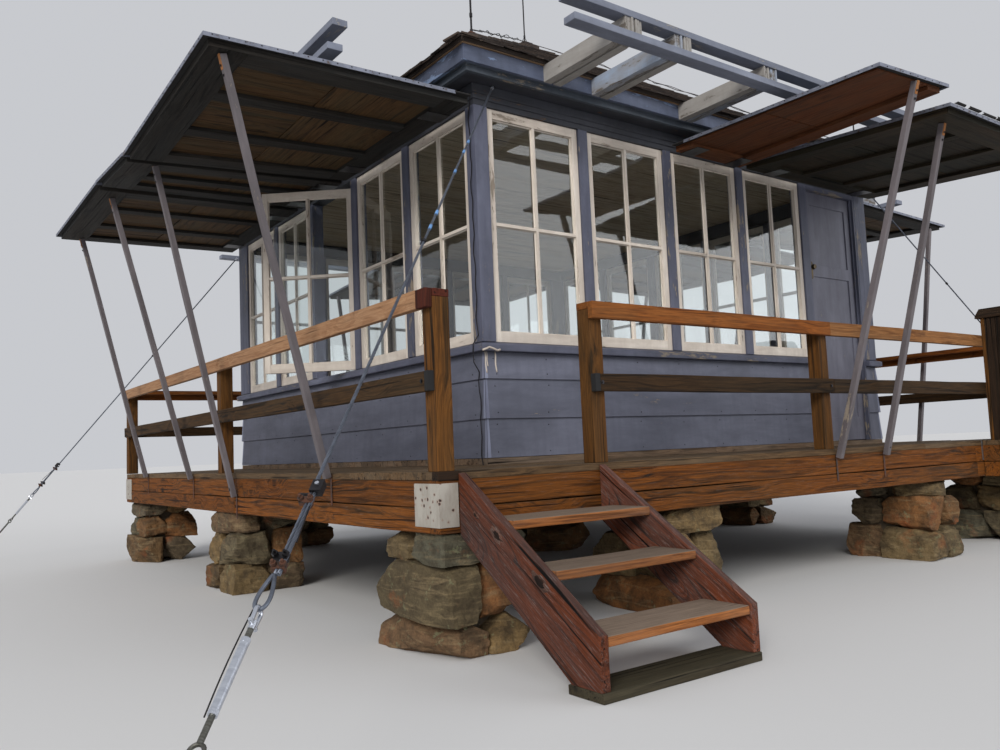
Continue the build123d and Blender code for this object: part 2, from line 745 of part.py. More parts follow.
# Shutters, drawn flat with the hinge edge on the X axis, then tilted and hung.
# Each panel is its two ends along the wall and its tilt in degrees.
SHUTTERS = {
    "front": ((-HALF + 1700, -HALF + 2500, 0.9), (-HALF + 2505, HALF + 20, 3.4)),
    "left": (
        (-HALF - 60, HALF - 2565, 1.6),
        (HALF - 2560, HALF - 1705, 1.4),
        (HALF - 1700, HALF + 60, 2.1),
    ),
}
SHUTTERS["back"] = SHUTTERS["left"][:2]
SHUTTERS["right"] = ((-HALF + 105, HALF - 2565, 1.6), SHUTTERS["left"][1], (HALF - 1700, HALF + 40, 2.1))

# Each strut is its foot's place along the wall, how far its top leans along it, its panel,
# its foot's height and how far out its top is
STRUTS = {
    "front": (
        (-HALF + 2145, 0, 0, FLOOR_TOP - 100, 1632),
        (-HALF + 2708, 0, 1, FLOOR_TOP - 100, 1499),
    ),
    "left": (
        (HALF - 216, 190, 2, FLOOR_TOP - 69, 1538),
        (HALF - 1768, 0, 1, FLOOR_TOP - 203, 1431),
        (HALF - 2780, 0, 0, FLOOR_TOP - 82, 1502),
        (HALF - 4194, 0, 0, FLOOR_TOP - 68, 1467),
    ),
}
STRUTS["back"] = STRUTS["left"][1:]
STRUTS["right"] = STRUTS["left"][:3] + ((HALF - 4099, 0, 0, FLOOR_TOP - 68, 1467),)


def shutter(side, start, end, tilt):
    start += SKIN_OVERHANG
    end -= SKIN_OVERHANG
    width = end - start
    middle = (start + end) / 2
    with BuildPart() as panel:
        with BuildSketch(Plane.XY.offset(-SHEET)):
            with Locations((middle, -(SHUTTER_REACH + SKIN_OVERHANG) / 2)):
                Rectangle(width + 2 * SKIN_OVERHANG, SHUTTER_REACH + SKIN_OVERHANG)
        extrude(amount=SHEET)
        with BuildSketch(Plane.XY.offset(-SHEET - FRAME_BOARD)):
            with Locations((middle, -SHUTTER_REACH / 2)):
                Rectangle(width, SHUTTER_REACH)
                Rectangle(width - 2 * EDGE_BOARD, SHUTTER_REACH - 2 * EDGE_BOARD, mode=Mode.SUBTRACT)
            battens = 2 if width > 1000 else 1
            for number in range(battens):
                with Locations((start + width * (number + 1) / (battens + 1), -SHUTTER_REACH / 2)):
                    Rectangle(BATTEN, SHUTTER_REACH - EDGE_BOARD)
        extrude(amount=FRAME_BOARD)
    hung = Location((0, -HALF - SHUTTER_OUT, SHUTTER_TOP), (tilt, 0, 0))
    return panel.part.moved(hung).moved(turned(side))


def strut(side, along, lean, tilt, foot, top_out):
    """A square prop from the rim's face up to the underside of a shutter."""
    drop = (top_out - SHUTTER_OUT) * tan(radians(tilt))
    top = SHUTTER_TOP - drop - SHEET - FRAME_BOARD - STRUT_GAP_UP
    foot_out = WALK + STRUT / 2 + STRUT_GAP
    run = top_out - foot_out
    rise = top - foot
    across = Plane((along, -HALF - foot_out, foot), x_dir=(rise, 0, -lean), z_dir=(lean, -run, rise))
    with BuildPart() as prop:
        with BuildSketch(across):
            Rectangle(STRUT, STRUT)
        extrude(amount=hypot(run, rise, lean))
    return prop.part.moved(turned(side))


for wall_side, panels in SHUTTERS.items():
    with BuildPart() as shutters:
        for start, end, tilt in panels:
            add(shutter(wall_side, start, end, tilt))
    save(shutters.part, f"{wall_side}_shutters")

with BuildPart() as shutter_struts:
    for wall_side, props in STRUTS.items():
        for along, lean, number, foot, top_out in props:
            add(strut(wall_side, along, lean, SHUTTERS[wall_side][number][2], foot, top_out))
save(shutter_struts.part, "shutter_struts")


# Rack over the eaves: paired outriggers that carry a rail above and a rail below
def rack(side):
    with BuildPart() as frame:
        for centre in [-HALF + at for at in OUTRIGGER_AT] + [HALF - at for at in OUTRIGGER_AT]:
            for offset in (-1, 1):
                near = centre + offset * OUTRIGGER_GAP / 2
                far = near + offset * OUTRIGGER
                block(sorted((near, far)), (-HALF - OUTRIGGER_TIP, -HALF - EAVE_OUT), OUTRIGGER_SPAN)
        block(
            (-HALF, HALF),
            (-HALF - LOWER_RAIL_OUT - RACK_RAIL, -HALF - LOWER_RAIL_OUT),
            (OUTRIGGER_SPAN[0] - RACK_RAIL_THICK, OUTRIGGER_SPAN[0]),
        )
        block(
            (-HALF, HALF),
            (-HALF - UPPER_RAIL_OUT - RACK_RAIL, -HALF - UPPER_RAIL_OUT),
            (OUTRIGGER_SPAN[1], OUTRIGGER_SPAN[1] + RACK_RAIL_THICK),
        )
    return frame.part.moved(turned(side))


with BuildPart() as rack_front_back:
    add(rack("front"))
    add(rack("back"))
save(rack_front_back.part, "rack_front_back")

with BuildPart() as rack_sides:
    add(rack("left"))
    add(rack("right"))
save(rack_sides.part, "rack_sides")

# Guys: a taut cable from each upper corner, a turnbuckle and a rod into the ground, all in one line.
# Each end is given by how far out from the cab's two faces it is, and its height.
CABLE_R = 6
CABLE_END_GAP = 7
TURNBUCKLE_R = 14
ANCHOR_R = 9
TURNBUCKLE_UP = 900
TURNBUCKLE = 230
GUYS = {
    (-1, -1): ((-119, 45, FLOOR_TOP + 2287), (2761, 2761, 0)),
    (1, -1): ((26, 26, FLOOR_TOP + 2240), (2139, 1289, 0)),
    (-1, 1): ((14, 14, FLOOR_TOP + 2098), (2108, 2108, 0)),
    (1, 1): ((14, 14, FLOOR_TOP + 2098), (2108, 2108, 0)),
}


def rod(start, end, radius):
    with BuildPart() as bar:
        with BuildSketch(Plane(start, z_dir=end - start)):
            Circle(radius)
        extrude(amount=(end - start).length)
    return bar.part


guy_pieces = {"guy_cables": [], "guy_turnbuckles": [], "guy_anchors": []}
for (sign_x, sign_y), ends in GUYS.items():
    top, anchor = [Vector(sign_x * (HALF + x), sign_y * (HALF + y), z) for x, y, z in ends]
    along = (anchor - top).normalized()
    upper_eye = anchor - along * TURNBUCKLE_UP
    lower_eye = upper_eye + along * TURNBUCKLE
    below = anchor + along * ANCHOR_R * 2
    guy_pieces["guy_cables"].append(rod(top, upper_eye - along * CABLE_END_GAP, CABLE_R))
    guy_pieces["guy_turnbuckles"].append(rod(upper_eye, lower_eye, TURNBUCKLE_R))
    guy_pieces["guy_anchors"].append(rod(lower_eye, below, ANCHOR_R))
for name, rods in guy_pieces.items():
    with BuildPart() as guy:
        for bar in rods:
            add(bar)
        split(bisect_by=Plane.XY, keep=Keep.TOP)
    save(guy.part, name)
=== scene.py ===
import math
import random
import bmesh
import bpy
from mathutils import Matrix, Vector, noise


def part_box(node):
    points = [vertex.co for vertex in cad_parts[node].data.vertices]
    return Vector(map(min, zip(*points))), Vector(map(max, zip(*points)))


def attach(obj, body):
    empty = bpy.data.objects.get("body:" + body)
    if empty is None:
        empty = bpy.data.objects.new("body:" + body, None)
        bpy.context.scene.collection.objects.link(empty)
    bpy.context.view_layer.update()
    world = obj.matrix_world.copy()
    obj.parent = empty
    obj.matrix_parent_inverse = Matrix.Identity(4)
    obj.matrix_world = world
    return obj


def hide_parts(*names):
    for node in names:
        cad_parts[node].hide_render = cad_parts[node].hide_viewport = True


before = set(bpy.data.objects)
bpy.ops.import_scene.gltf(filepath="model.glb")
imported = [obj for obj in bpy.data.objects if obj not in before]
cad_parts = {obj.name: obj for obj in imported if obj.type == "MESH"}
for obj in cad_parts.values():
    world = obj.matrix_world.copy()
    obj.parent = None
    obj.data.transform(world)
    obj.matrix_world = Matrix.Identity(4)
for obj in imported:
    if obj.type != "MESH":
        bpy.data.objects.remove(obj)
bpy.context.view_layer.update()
dice = random.Random(11)
noise.seed_set(11)

# Sizes read from the frame, in metres
FLOOR_LOW, FLOOR_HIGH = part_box("cab_floor")
HALF = FLOOR_HIGH[0]
FLOOR = FLOOR_HIGH[2]
DECK_LOW, DECK_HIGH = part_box("deck_front_back")
RIM_LOW, RIM_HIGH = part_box("rim_front_back")
ROOF_LOW, ROOF_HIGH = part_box("roof")
WALK = -DECK_LOW[1] - HALF
WALK_BACK = DECK_HIGH[1] - HALF
DECK = DECK_HIGH[2]
TURN = {"front": 0, "right": 90, "back": 180, "left": -90}


def side_matrix(side):
    """A wall drawn as the front one, turned to where it stands."""
    return Matrix.Rotation(math.radians(TURN[side]), 4, "Z")


def out(distance):
    """The Y of a point that far out from the front wall's face."""
    return -HALF - distance


def colour(red, green, blue):
    """An 8-bit screen colour as the linear colour that Blender takes."""
    linear = []
    for value in (red, green, blue):
        value /= 255
        linear.append(value / 12.92 if value <= 0.04045 else ((value + 0.055) / 1.055) ** 2.4)
    return (*linear, 1)


def scattered(low, high):
    """A random point in a cube."""
    return Vector((dice.uniform(low, high), dice.uniform(low, high), dice.uniform(low, high)))


# Node trees
BLACK = (0, 0, 0, 1)
WHITE = (1, 1, 1, 1)
DRY_SHINE = 0.18


class Finish:
    """A material, with short names for the nodes that it uses often."""

    def __init__(self, name, grain=True):
        self.mat = bpy.data.materials.new(name)
        self.mat.use_nodes = True
        self.tree = self.mat.node_tree
        self.shader = self.tree.nodes["Principled BSDF"]
        if grain:
            self.at = self.attribute("grain", "Vector")
        else:
            self.at = self.new("ShaderNodeTexCoord").outputs["Object"]

    def new(self, kind, **settings):
        node = self.tree.nodes.new(kind)
        for key, value in settings.items():
            setattr(node, key, value)
        return node

    def join(self, value, socket):
        if isinstance(value, bpy.types.NodeSocket):
            self.tree.links.new(value, socket)
        else:
            socket.default_value = value

    def attribute(self, name, output):
        return self.new("ShaderNodeAttribute", attribute_name=name).outputs[output]

    def tone(self):
        return self.attribute("tone", "Fac")

    def stretched(self, scale, vector=None):
        node = self.new("ShaderNodeVectorMath", operation="MULTIPLY")
        self.join(vector or self.at, node.inputs[0])
        node.inputs[1].default_value = scale
        return node.outputs[0]

    def added(self, vector, offset):
        node = self.new("ShaderNodeVectorMath", operation="ADD")
        self.join(vector, node.inputs[0])
        self.join(offset, node.inputs[1])
        return node.outputs[0]

    def noise(self, scale, detail=4, rough=0.55, distortion=0.0, vector=None, output="Fac"):
        node = self.new("ShaderNodeTexNoise")
        self.join(self.stretched(scale, vector), node.inputs["Vector"])
        node.inputs["Scale"].default_value = 1
        node.inputs["Detail"].default_value = detail
        node.inputs["Roughness"].default_value = rough
        node.inputs["Distortion"].default_value = distortion
        return node.outputs[output]

    def cells(self, scale, feature="F1"):
        node = self.new("ShaderNodeTexVoronoi", feature=feature)
        self.join(self.stretched(scale), node.inputs["Vector"])
        node.inputs["Scale"].default_value = 1
        return node.outputs["Distance"]

    def ramp(self, source, *stops):
        node = self.new("ShaderNodeValToRGB")
        self.join(source, node.inputs[0])
        elements = node.color_ramp.elements
        for index, (place, shade) in enumerate(stops):
            element = elements[index] if index < 2 else elements.new(place)
            element.position = place
            element.color = shade if isinstance(shade, tuple) else (shade, shade, shade, 1)
        return node.outputs[0]

    def mix(self, amount, first, second, blend="MIX"):
        node = self.new("ShaderNodeMix", data_type="RGBA", blend_type=blend)
        self.join(amount, node.inputs[0])
        self.join(first, node.inputs[6])
        self.join(second, node.inputs[7])
        return node.outputs[2]

    def lay(self, base, shade, source, *stops):
        """A colour laid over the base, as thick as the stops over the source say."""
        return self.mix(self.ramp(source, *stops), base, shade)

    def maths(self, operation, first, second=0.0):
        node = self.new("ShaderNodeMath", operation=operation)
        self.join(first, node.inputs[0])
        self.join(second, node.inputs[1])
        return node.outputs[0]

    def times(self, first, second):
        return self.maths("MULTIPLY", first, second)

    def facing_up(self, low=0.5, high=0.9):
        """1 where the surface looks at the sky."""
        split = self.new("ShaderNodeSeparateXYZ")
        self.join(self.new("ShaderNodeNewGeometry").outputs["Normal"], split.inputs[0])
        return self.ramp(split.outputs["Z"], (low, 0.0), (high, 1.0))

    def bump(self, height, depth, strength):
        bump = self.new("ShaderNodeBump")
        bump.inputs["Strength"].default_value = strength
        bump.inputs["Distance"].default_value = depth
        self.join(height, bump.inputs["Height"])
        self.join(bump.outputs[0], self.shader.inputs["Normal"])

    def done(self, shade, rough, height, depth, strength):
        self.join(shade, self.shader.inputs["Base Color"])
        self.join(rough, self.shader.inputs["Roughness"])
        self.bump(height, depth, strength)
        return self.mat


def timber(name, dark, light, grey, weather=0.4, knots=0.3, up_grey=0.0, cracks=1.0, scratches=0.0):
    """Old bare wood: rings that bend round knots, fibres, cracks, pale scratches and grey weathering."""
    f = Finish(name)
    dark = colour(*dark)
    light = colour(*light)
    grey = colour(*grey)
    wander = f.noise((0.9, 5, 5), detail=2, rough=0.5, output="Color")
    knot = f.cells((1.9, 6.5, 3.2), feature="SMOOTH_F1")
    knot_pull = f.ramp(knot, (0.0, 1.0), (0.42, 0.0))
    bent = f.added(f.stretched((0.55, 24, 24)), f.stretched((1.6, 1.6, 1.6), wander))
    bent = f.added(bent, f.stretched((0, 3.4 * knots, 3.4 * knots), knot_pull))
    rings = f.noise((1, 1, 1), detail=5, rough=0.62, distortion=0.9, vector=bent)
    fibres = f.noise((7, 190, 190), detail=3, rough=0.7)
    split = f.noise((1.3, 62, 62), detail=2, rough=0.4, distortion=0.4)
    crack = f.ramp(split, (0.30, cracks), (0.36, 0.0))
    base = f.ramp(rings, (0.32, dark), (0.5, light), (0.68, dark))
    base = f.mix(f.ramp(fibres, (0.3, 0.55), (0.7, 0.0)), base, dark, "MULTIPLY")
    heart = f.ramp(knot, (0.03, 1.0), (0.13, 0.0))
    base = f.mix(f.times(heart, min(1.0, knots * 1.3)), base, f.mix(0.75, dark, BLACK))
    patches = f.noise((1.1, 5, 5), detail=5, rough=0.65)
    amount = f.times(f.ramp(patches, (0.40, 0.0), (0.66, 1.0)), weather)
    if up_grey:
        amount = f.maths("MAXIMUM", amount, f.times(f.facing_up(), up_grey))
    base = f.mix(amount, base, f.lay(f.mix(0.45, grey, BLACK), grey, fibres, (0.3, 0.0), (0.7, 1.0)))
    if scratches:
        worn = f.noise((11, 170, 170), detail=6, rough=0.8)
        base = f.lay(base, f.mix(0.25, grey, WHITE), worn, (0.54, 0.0), (0.68, scratches))
    base = f.mix(crack, base, f.mix(0.86, dark, BLACK))
    base = f.mix(1.0, base, f.ramp(f.tone(), (0.0, 0.72), (1.0, 1.2)), "MULTIPLY")
    height = f.maths("ADD", f.times(fibres, 0.45), f.times(rings, 0.5))
    height = f.maths("SUBTRACT", height, f.times(crack, 1.3))
    f.join(DRY_SHINE, f.shader.inputs["Specular IOR Level"])
    return f.done(base, f.ramp(rings, (0.2, 0.72), (0.8, 0.9)), height, 0.003, 0.75)


def painted(name, coat, shade, bare=(150, 138, 124), peel=0.2, dirt=0.3, rough=0.6, streaks=0.4, grain=True,
            second=None):
    """Old paint on wood: coats that flake along the grain to bare wood, dirt in patches and water streaks."""
    f = Finish(name, grain)
    coat = colour(*coat)
    shade = colour(*shade)
    bare = colour(*bare)
    fibres = f.noise((6, 150, 150) if grain else (40, 40, 90), detail=3, rough=0.7)
    blotch = f.noise((1.3, 6, 6), detail=6, rough=0.7, distortion=0.3)
    fleck = f.noise((9, 38, 38), detail=5, rough=0.75)
    where = f.maths("ADD", f.times(blotch, 0.62), f.times(fleck, 0.38))
    edge = 0.36 + 0.22 * peel
    peeled = f.ramp(where, (edge - 0.012, 1.0), (edge + 0.012, 0.0))
    if second:
        coat = f.lay(coat, colour(*second), f.tone(), (0.45, 0.0), (0.55, 1.0))
    tint = f.lay(shade, coat, blotch, (0.35, 0.0), (0.68, 1.0))
    place = f.new("ShaderNodeNewGeometry").outputs["Position"]
    run = f.noise((22, 22, 1.2), detail=4, rough=0.6, vector=place)
    tint = f.mix(f.times(f.ramp(run, (0.42, 0.0), (0.7, 1.0)), streaks), tint, shade)
    soot = f.noise((3.1, 3.1, 2.2), detail=6, rough=0.7, vector=place)
    sooty = f.times(f.ramp(soot, (0.45, 0.0), (0.75, 1.0)), dirt)
    tint = f.mix(sooty, tint, f.mix(0.7, shade, BLACK))
    base = f.mix(peeled, tint, f.mix(fibres, f.mix(0.5, bare, BLACK), bare))
    if grain:
        base = f.mix(1.0, base, f.ramp(f.tone(), (0.0, 0.9), (1.0, 1.08)), "MULTIPLY")
    height = f.maths("SUBTRACT", f.times(fibres, 0.3), peeled)
    return f.done(base, f.ramp(peeled, (0.0, rough), (1.0, 0.85)), height, 0.0016, 0.55)


def metal_finish(name, clean, dull, rust, rusting, metallic=0.9, rough=0.42, grain=True):
    """Zinc-coated or bare iron fittings with dull patches and rust."""
    f = Finish(name, grain)
    patches = f.noise((18, 18, 18), detail=5, rough=0.65)
    spots = f.noise((60, 60, 60), detail=6, rough=0.7)
    base = f.lay(colour(*clean), colour(*dull), patches, (0.35, 0.0), (0.7, 1.0))
    edge = 0.75 - 0.35 * rusting
    where = f.maths("ADD", f.times(patches, 0.6), f.times(spots, 0.4))
    rusty = f.ramp(where, (edge - 0.03, 0.0), (edge + 0.03, 1.0))
    base = f.mix(rusty, base, colour(*rust))
    f.join(f.ramp(rusty, (0.0, metallic), (1.0, 0.1)), f.shader.inputs["Metallic"])
    return f.done(base, f.ramp(rusty, (0.0, rough), (1.0, 0.85)), f.maths("ADD", spots, rusty), 0.0008, 0.5)


def shingle_finish():
    """Dark weathered shakes, each of its own shade, with grain down the slope."""
    f = Finish("shingle_wood")
    fibres = f.noise((9, 120, 120), detail=4, rough=0.7)
    patches = f.noise((4, 10, 10), detail=5, rough=0.65)
    base = f.ramp(f.tone(), (0.0, colour(34, 28, 26)), (0.5, colour(62, 50, 44)), (1.0, colour(86, 72, 62)))
    base = f.lay(base, colour(22, 18, 17), fibres, (0.3, 0.7), (0.65, 0.0))
    base = f.lay(base, colour(104, 98, 92), patches, (0.55, 0.0), (0.8, 0.6))
    return f.done(base, 0.88, fibres, 0.004, 0.7)


def stone_finish():
    """Field stone: each rock its own colour, with bedding bands, speckle and lichen."""
    f = Finish("field_stone")
    rocks = ((84, 77, 60), (132, 108, 72), (88, 87, 74), (144, 96, 56), (72, 71, 54))
    base = f.ramp(f.tone(), *((number / 4, colour(*rock)) for number, rock in enumerate(rocks)))
    mottle = f.noise((9, 9, 9), detail=8, rough=0.68)
    bands = f.noise((5, 5, 34), detail=4, rough=0.6, distortion=0.8)
    grit = f.noise((90, 90, 90), detail=3, rough=0.7)
    rust = f.noise((3.4, 3.4, 3.4), detail=5, rough=0.6)
    lichen = f.noise((14, 14, 14), detail=6, rough=0.75)
    base = f.lay(base, colour(58, 49, 38), mottle, (0.36, 0.8), (0.6, 0.0))
    base = f.lay(base, colour(160, 140, 106), bands, (0.52, 0.0), (0.74, 0.45))
    base = f.lay(base, colour(142, 78, 42), rust, (0.58, 0.0), (0.7, 0.65))
    base = f.lay(base, colour(126, 128, 98), lichen, (0.6, 0.0), (0.64, 0.5))
    base = f.lay(base, colour(40, 34, 28), grit, (0.3, 0.35), (0.6, 0.0))
    f.join(DRY_SHINE, f.shader.inputs["Specular IOR Level"])
    return f.done(base, 0.9, f.maths("ADD", mottle, f.times(grit, 0.25)), 0.02, 0.8)


def mortar_finish():
    """Dark gritty earth and old mortar between the stones."""
    f = Finish("mortar_fill")
    grit = f.noise((60, 60, 60), detail=5, rough=0.7)
    return f.done(f.mix(grit, colour(38, 32, 26), colour(96, 84, 68)), 0.95, grit, 0.004, 0.8)


def plate_finish():
    """White-painted sheet metal with rust spots where nails and stones hit it."""
    f = Finish("plate_paint", False)
    spots = f.cells((34, 34, 34))
    ragged = f.noise((95, 95, 95), detail=5, rough=0.75)
    where = f.maths("ADD", spots, f.times(ragged, 0.5))
    chosen = f.ramp(f.noise((11, 11, 11), detail=3), (0.44, 0.0), (0.5, 1.0))
    chip = f.times(f.ramp(where, (0.44, 1.0), (0.49, 0.0)), chosen)
    bleed = f.times(f.ramp(where, (0.46, 0.6), (0.62, 0.0)), chosen)
    dirt = f.noise((12, 12, 4), detail=6, rough=0.7)
    base = f.lay(colour(164, 159, 150), colour(120, 110, 100), dirt, (0.4, 0.0), (0.72, 0.75))
    base = f.mix(bleed, base, colour(132, 84, 60))
    base = f.mix(chip, base, colour(44, 30, 26))
    return f.done(base, 0.6, f.maths("SUBTRACT", 0.5, chip), 0.001, 0.5)


def felt_finish():
    """Mineral roofing felt on the shutters' tops."""
    f = Finish("roof_felt")
    grit = f.noise((160, 160, 160), detail=2, rough=0.6)
    patches = f.noise((3, 3, 3), detail=5, rough=0.6)
    base = f.mix(grit, colour(70, 72, 74), colour(112, 114, 116))
    base = f.lay(base, colour(84, 78, 70), patches, (0.4, 0.0), (0.7, 0.5))
    base = f.mix(f.facing_up(0.2, 0.5), colour(30, 28, 28), base)
    return f.done(base, 0.92, grit, 0.001, 0.6)


def glass_finish():
    """Clear old panes with a faint green tint; lamps shine through."""
    f = Finish("pane_glass", False)
    shader = f.shader
    shader.inputs["Base Color"].default_value = (0.93, 0.97, 0.96, 1)
    shader.inputs["Transmission Weight"].default_value = 1
    shader.inputs["Roughness"].default_value = 0.02
    shader.inputs["IOR"].default_value = 1.45
    f.bump(f.noise((3, 3, 2), detail=2, rough=0.5), 0.01, 0.08)
    mix = f.new("ShaderNodeMixShader")
    f.join(f.new("ShaderNodeLightPath").outputs["Is Shadow Ray"], mix.inputs[0])
    f.join(shader.outputs[0], mix.inputs[1])
    f.join(f.new("ShaderNodeBsdfTransparent").outputs[0], mix.inputs[2])
    f.join(mix.outputs[0], f.tree.nodes["Material Output"].inputs["Surface"])
    return f.mat


# Wood finishes: dark rings, light rings and weathered grey as 8-bit screen colours
rim_wood = timber("rim_wood", (44, 24, 8), (134, 76, 21), (96, 72, 42), 0.3, 0.8, 0.5, 0.8, scratches=0.14)
post_wood = timber("post_wood", (36, 24, 12), (112, 71, 28), (94, 74, 46), 0.3, 0.4, 0.4, 0.7)
mid_rail_wood = timber("mid_rail_wood", (24, 17, 10), (74, 52, 29), (70, 58, 41), 0.35, 0.6, 0.4, 0.7)
new_rail_wood = timber("new_rail_wood", (146, 104, 72), (186, 146, 110), (158, 134, 112), 0.3, 0.9, 0.3, 0.4)
orange_rail_wood = timber("orange_rail_wood", (92, 48, 16), (152, 88, 35), (118, 92, 58), 0.3, 0.5, 0.4, 0.5)
tan_rail_wood = timber("tan_rail_wood", (112, 70, 36), (166, 114, 66), (132, 108, 80), 0.3, 0.5, 0.4, 0.4)
end_block_wood = timber("end_block_wood", (46, 18, 12), (88, 38, 24), (76, 54, 44), 0.2, 0.2)
stringer_wood = timber("stringer_wood", (28, 17, 12), (122, 62, 34), (82, 70, 68), 0.58, 1.2, 0.7,
                       scratches=0.42)
knot_wood = timber("knot_wood", (56, 36, 28), (104, 68, 52), (104, 88, 82), 0.5, 0.0, scratches=0.5)
knot_heart = timber("knot_heart", (20, 14, 11), (50, 32, 24), (46, 38, 34), 0.3, 0.0)
tread_wood = timber("tread_wood", (98, 55, 26), (164, 102, 50), (130, 114, 100), 0.3, 0.3, 1.0, 0.5)
foot_wood = timber("foot_wood", (32, 28, 21), (66, 58, 43), (84, 80, 64), 0.5, 0.3, 0.5)
deck_wood = timber("deck_wood", (58, 44, 31), (116, 90, 62), (112, 98, 80), 0.5, 0.4, 0.5, 0.8)
shutter_wood = timber("shutter_wood", (44, 33, 21), (98, 72, 45), (82, 75, 54), 0.45, 0.4)
shutter_frame_wood = timber("shutter_frame_wood", (26, 25, 24), (54, 49, 44), (62, 64, 64), 0.5)
shutter_ply = timber("shutter_ply", (66, 36, 19), (108, 62, 34), (82, 68, 52), 0.3, cracks=0.3)
shutter_felt_board = timber("shutter_felt_board", (26, 25, 20), (52, 49, 38), (84, 60, 40), 0.3)
# Dark wood for the boxed post and the near deck corner: partly its own dark brown, partly painted shade.
shaded_box_wood = timber("shaded_box_wood", (24, 17, 12), (58, 40, 26), (54, 47, 39), 0.35, 0.3, 0.3)
joist_wood = timber("joist_wood", (44, 30, 20), (92, 67, 45), (80, 71, 60), knots=0.4)
floor_wood = timber("floor_wood", (84, 67, 53), (138, 115, 94), (128, 119, 107))
ceiling_wood = timber("ceiling_wood", (150, 132, 110), (196, 180, 156), (180, 170, 156), knots=0.4)
strip_wood = timber("strip_wood", (112, 88, 66), (152, 124, 96), (138, 122, 104))

# Paints: the coat, its darker shade and, where it isn't plain grey, the bare wood
siding_paint = painted("siding_paint", (106, 109, 126), (82, 85, 100), peel=0.03)
corner_cap_paint = painted("corner_cap_paint", (142, 148, 170), (112, 116, 138), peel=0.05)
trim_paint = painted("trim_paint", (98, 101, 120), (70, 73, 90), peel=0.22, dirt=0.45, streaks=0.45)
dark_trim = painted("dark_trim", (60, 62, 71), (38, 40, 47), (110, 80, 54), 0.16, 0.45, 0.65)
white_paint = painted("white_paint", (224, 215, 204), (182, 170, 158), dirt=0.2, rough=0.55)
black_paint = painted("black_paint", (24, 24, 26), (14, 14, 16), (80, 66, 52), 0.15, 0.2, 0.85, 0.2)
fascia_paint = painted("fascia_paint", (88, 97, 120), (62, 69, 88), (130, 150, 184), 0.4, 0.4, streaks=0.45)
lower_trim_paint = painted("lower_trim_paint", (84, 93, 104), (56, 63, 72), peel=0.22, dirt=0.4)
rack_rail_paint = painted("rack_rail_paint", (126, 132, 148), (96, 101, 116), (160, 156, 152), 0.25, 0.2,
                          streaks=0.3)
outrigger_paint = painted("outrigger_paint", (162, 159, 155), (132, 127, 122), (112, 104, 96), 0.35, 0.2,
                          0.7, 0.3, second=(146, 164, 190))
strut_paint = painted("strut_paint", (110, 103, 106), (82, 76, 79), rough=0.65, streaks=0.35)
door_paint = painted("door_paint", (110, 110, 124), (84, 84, 98), peel=0.1, dirt=0.35, rough=0.55)
tape_blue = painted("tape_blue", (112, 160, 214), (86, 128, 180), (120, 124, 130), 0.2, 0.2, 0.5, 0.2)
roof_boards = painted("roof_boards", (70, 58, 50), (48, 40, 36), peel=0.1, rough=0.8, streaks=0.2,
                      grain=False)

# Metals: clean, dull and rusty colours, and how much of them rusts
zinc_steel = metal_finish("zinc_steel", (170, 174, 180), (126, 130, 136), (96, 60, 40), 0.2)
bright_steel = metal_finish("bright_steel", (206, 210, 218), (176, 180, 190), (120, 100, 80), 0.0, rough=0.28)
dull_edge = metal_finish("dull_edge", (136, 140, 154), (104, 108, 120), (84, 66, 54), 0.45, 0.6, 0.6)
rusty_iron = metal_finish("rusty_iron", (70, 62, 58), (50, 42, 40), (82, 50, 34), 0.8)
head_rust = metal_finish("head_rust", (96, 72, 50), (70, 52, 38), (150, 98, 52), 0.9)
dark_iron = metal_finish("dark_iron", (58, 56, 58), (38, 36, 38), (70, 44, 32), 0.35)
cad_iron = metal_finish("cad_iron", (58, 56, 58), (38, 36, 38), (70, 44, 32), 0.4, grain=False)
cad_brass = metal_finish("cad_brass", (92, 78, 54), (58, 50, 40), (50, 40, 32), 0.4, grain=False)
cable_steel = metal_finish("cable_steel", (122, 128, 140), (84, 88, 98), (78, 56, 44), 0.25)
worn_steel = metal_finish("worn_steel", (112, 112, 106), (76, 74, 68), (78, 58, 44), 0.4)

shingle_wood = shingle_finish()
field_stone = stone_finish()
mortar_fill = mortar_finish()
plate_paint = plate_finish()
roof_felt = felt_finish()
pane_glass = glass_finish()


# Meshes
heaps = []


class Heap:
    """Bars, boards, stones and fittings that become one joined mesh, built when all of them are in."""

    def __init__(self, name, finish, slot, nodes=(), body="cab", bevel=0.0, smooth=False):
        self.name = name
        self.finish = finish
        self.slot = slot
        self.nodes = nodes
        self.body = body
        self.bevel = bevel
        self.smooth = smooth
        heaps.append(self)
        self.points = []
        self.faces = []
        self.grain = []
        self.tones = []

    def add(self, points, faces, grain, tone=None):
        first = len(self.points)
        shift = scattered(0, 40)
        tone = dice.random() if tone is None else tone
        self.points.extend(points)
        self.grain.extend(Vector(place) + shift for place in grain)
        self.tones.extend([tone] * len(points))
        self.faces.extend([first + corner for corner in face] for face in faces)

    def build(self):
        mesh = bpy.data.meshes.new(self.name)
        mesh.from_pydata([tuple(p) for p in self.points], [], self.faces)
        grain = mesh.attributes.new("grain", "FLOAT_VECTOR", "POINT")
        grain.data.foreach_set("vector", [c for place in self.grain for c in place])
        tone = mesh.attributes.new("tone", "FLOAT", "POINT")
        tone.data.foreach_set("value", self.tones)
        mesh.materials.append(self.finish)
        if self.smooth:
            mesh.shade_smooth()
        obj = bpy.data.objects.new(self.name, mesh)
        bpy.context.scene.collection.objects.link(obj)
        if self.bevel:
            worn = obj.modifiers.new("worn_edges", "BEVEL")
            worn.width = self.bevel
            worn.segments = 2
            worn.limit_method = "ANGLE"
            worn.angle_limit = math.radians(40)
        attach(obj, self.body)
        if self.nodes:
            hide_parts(*self.nodes)


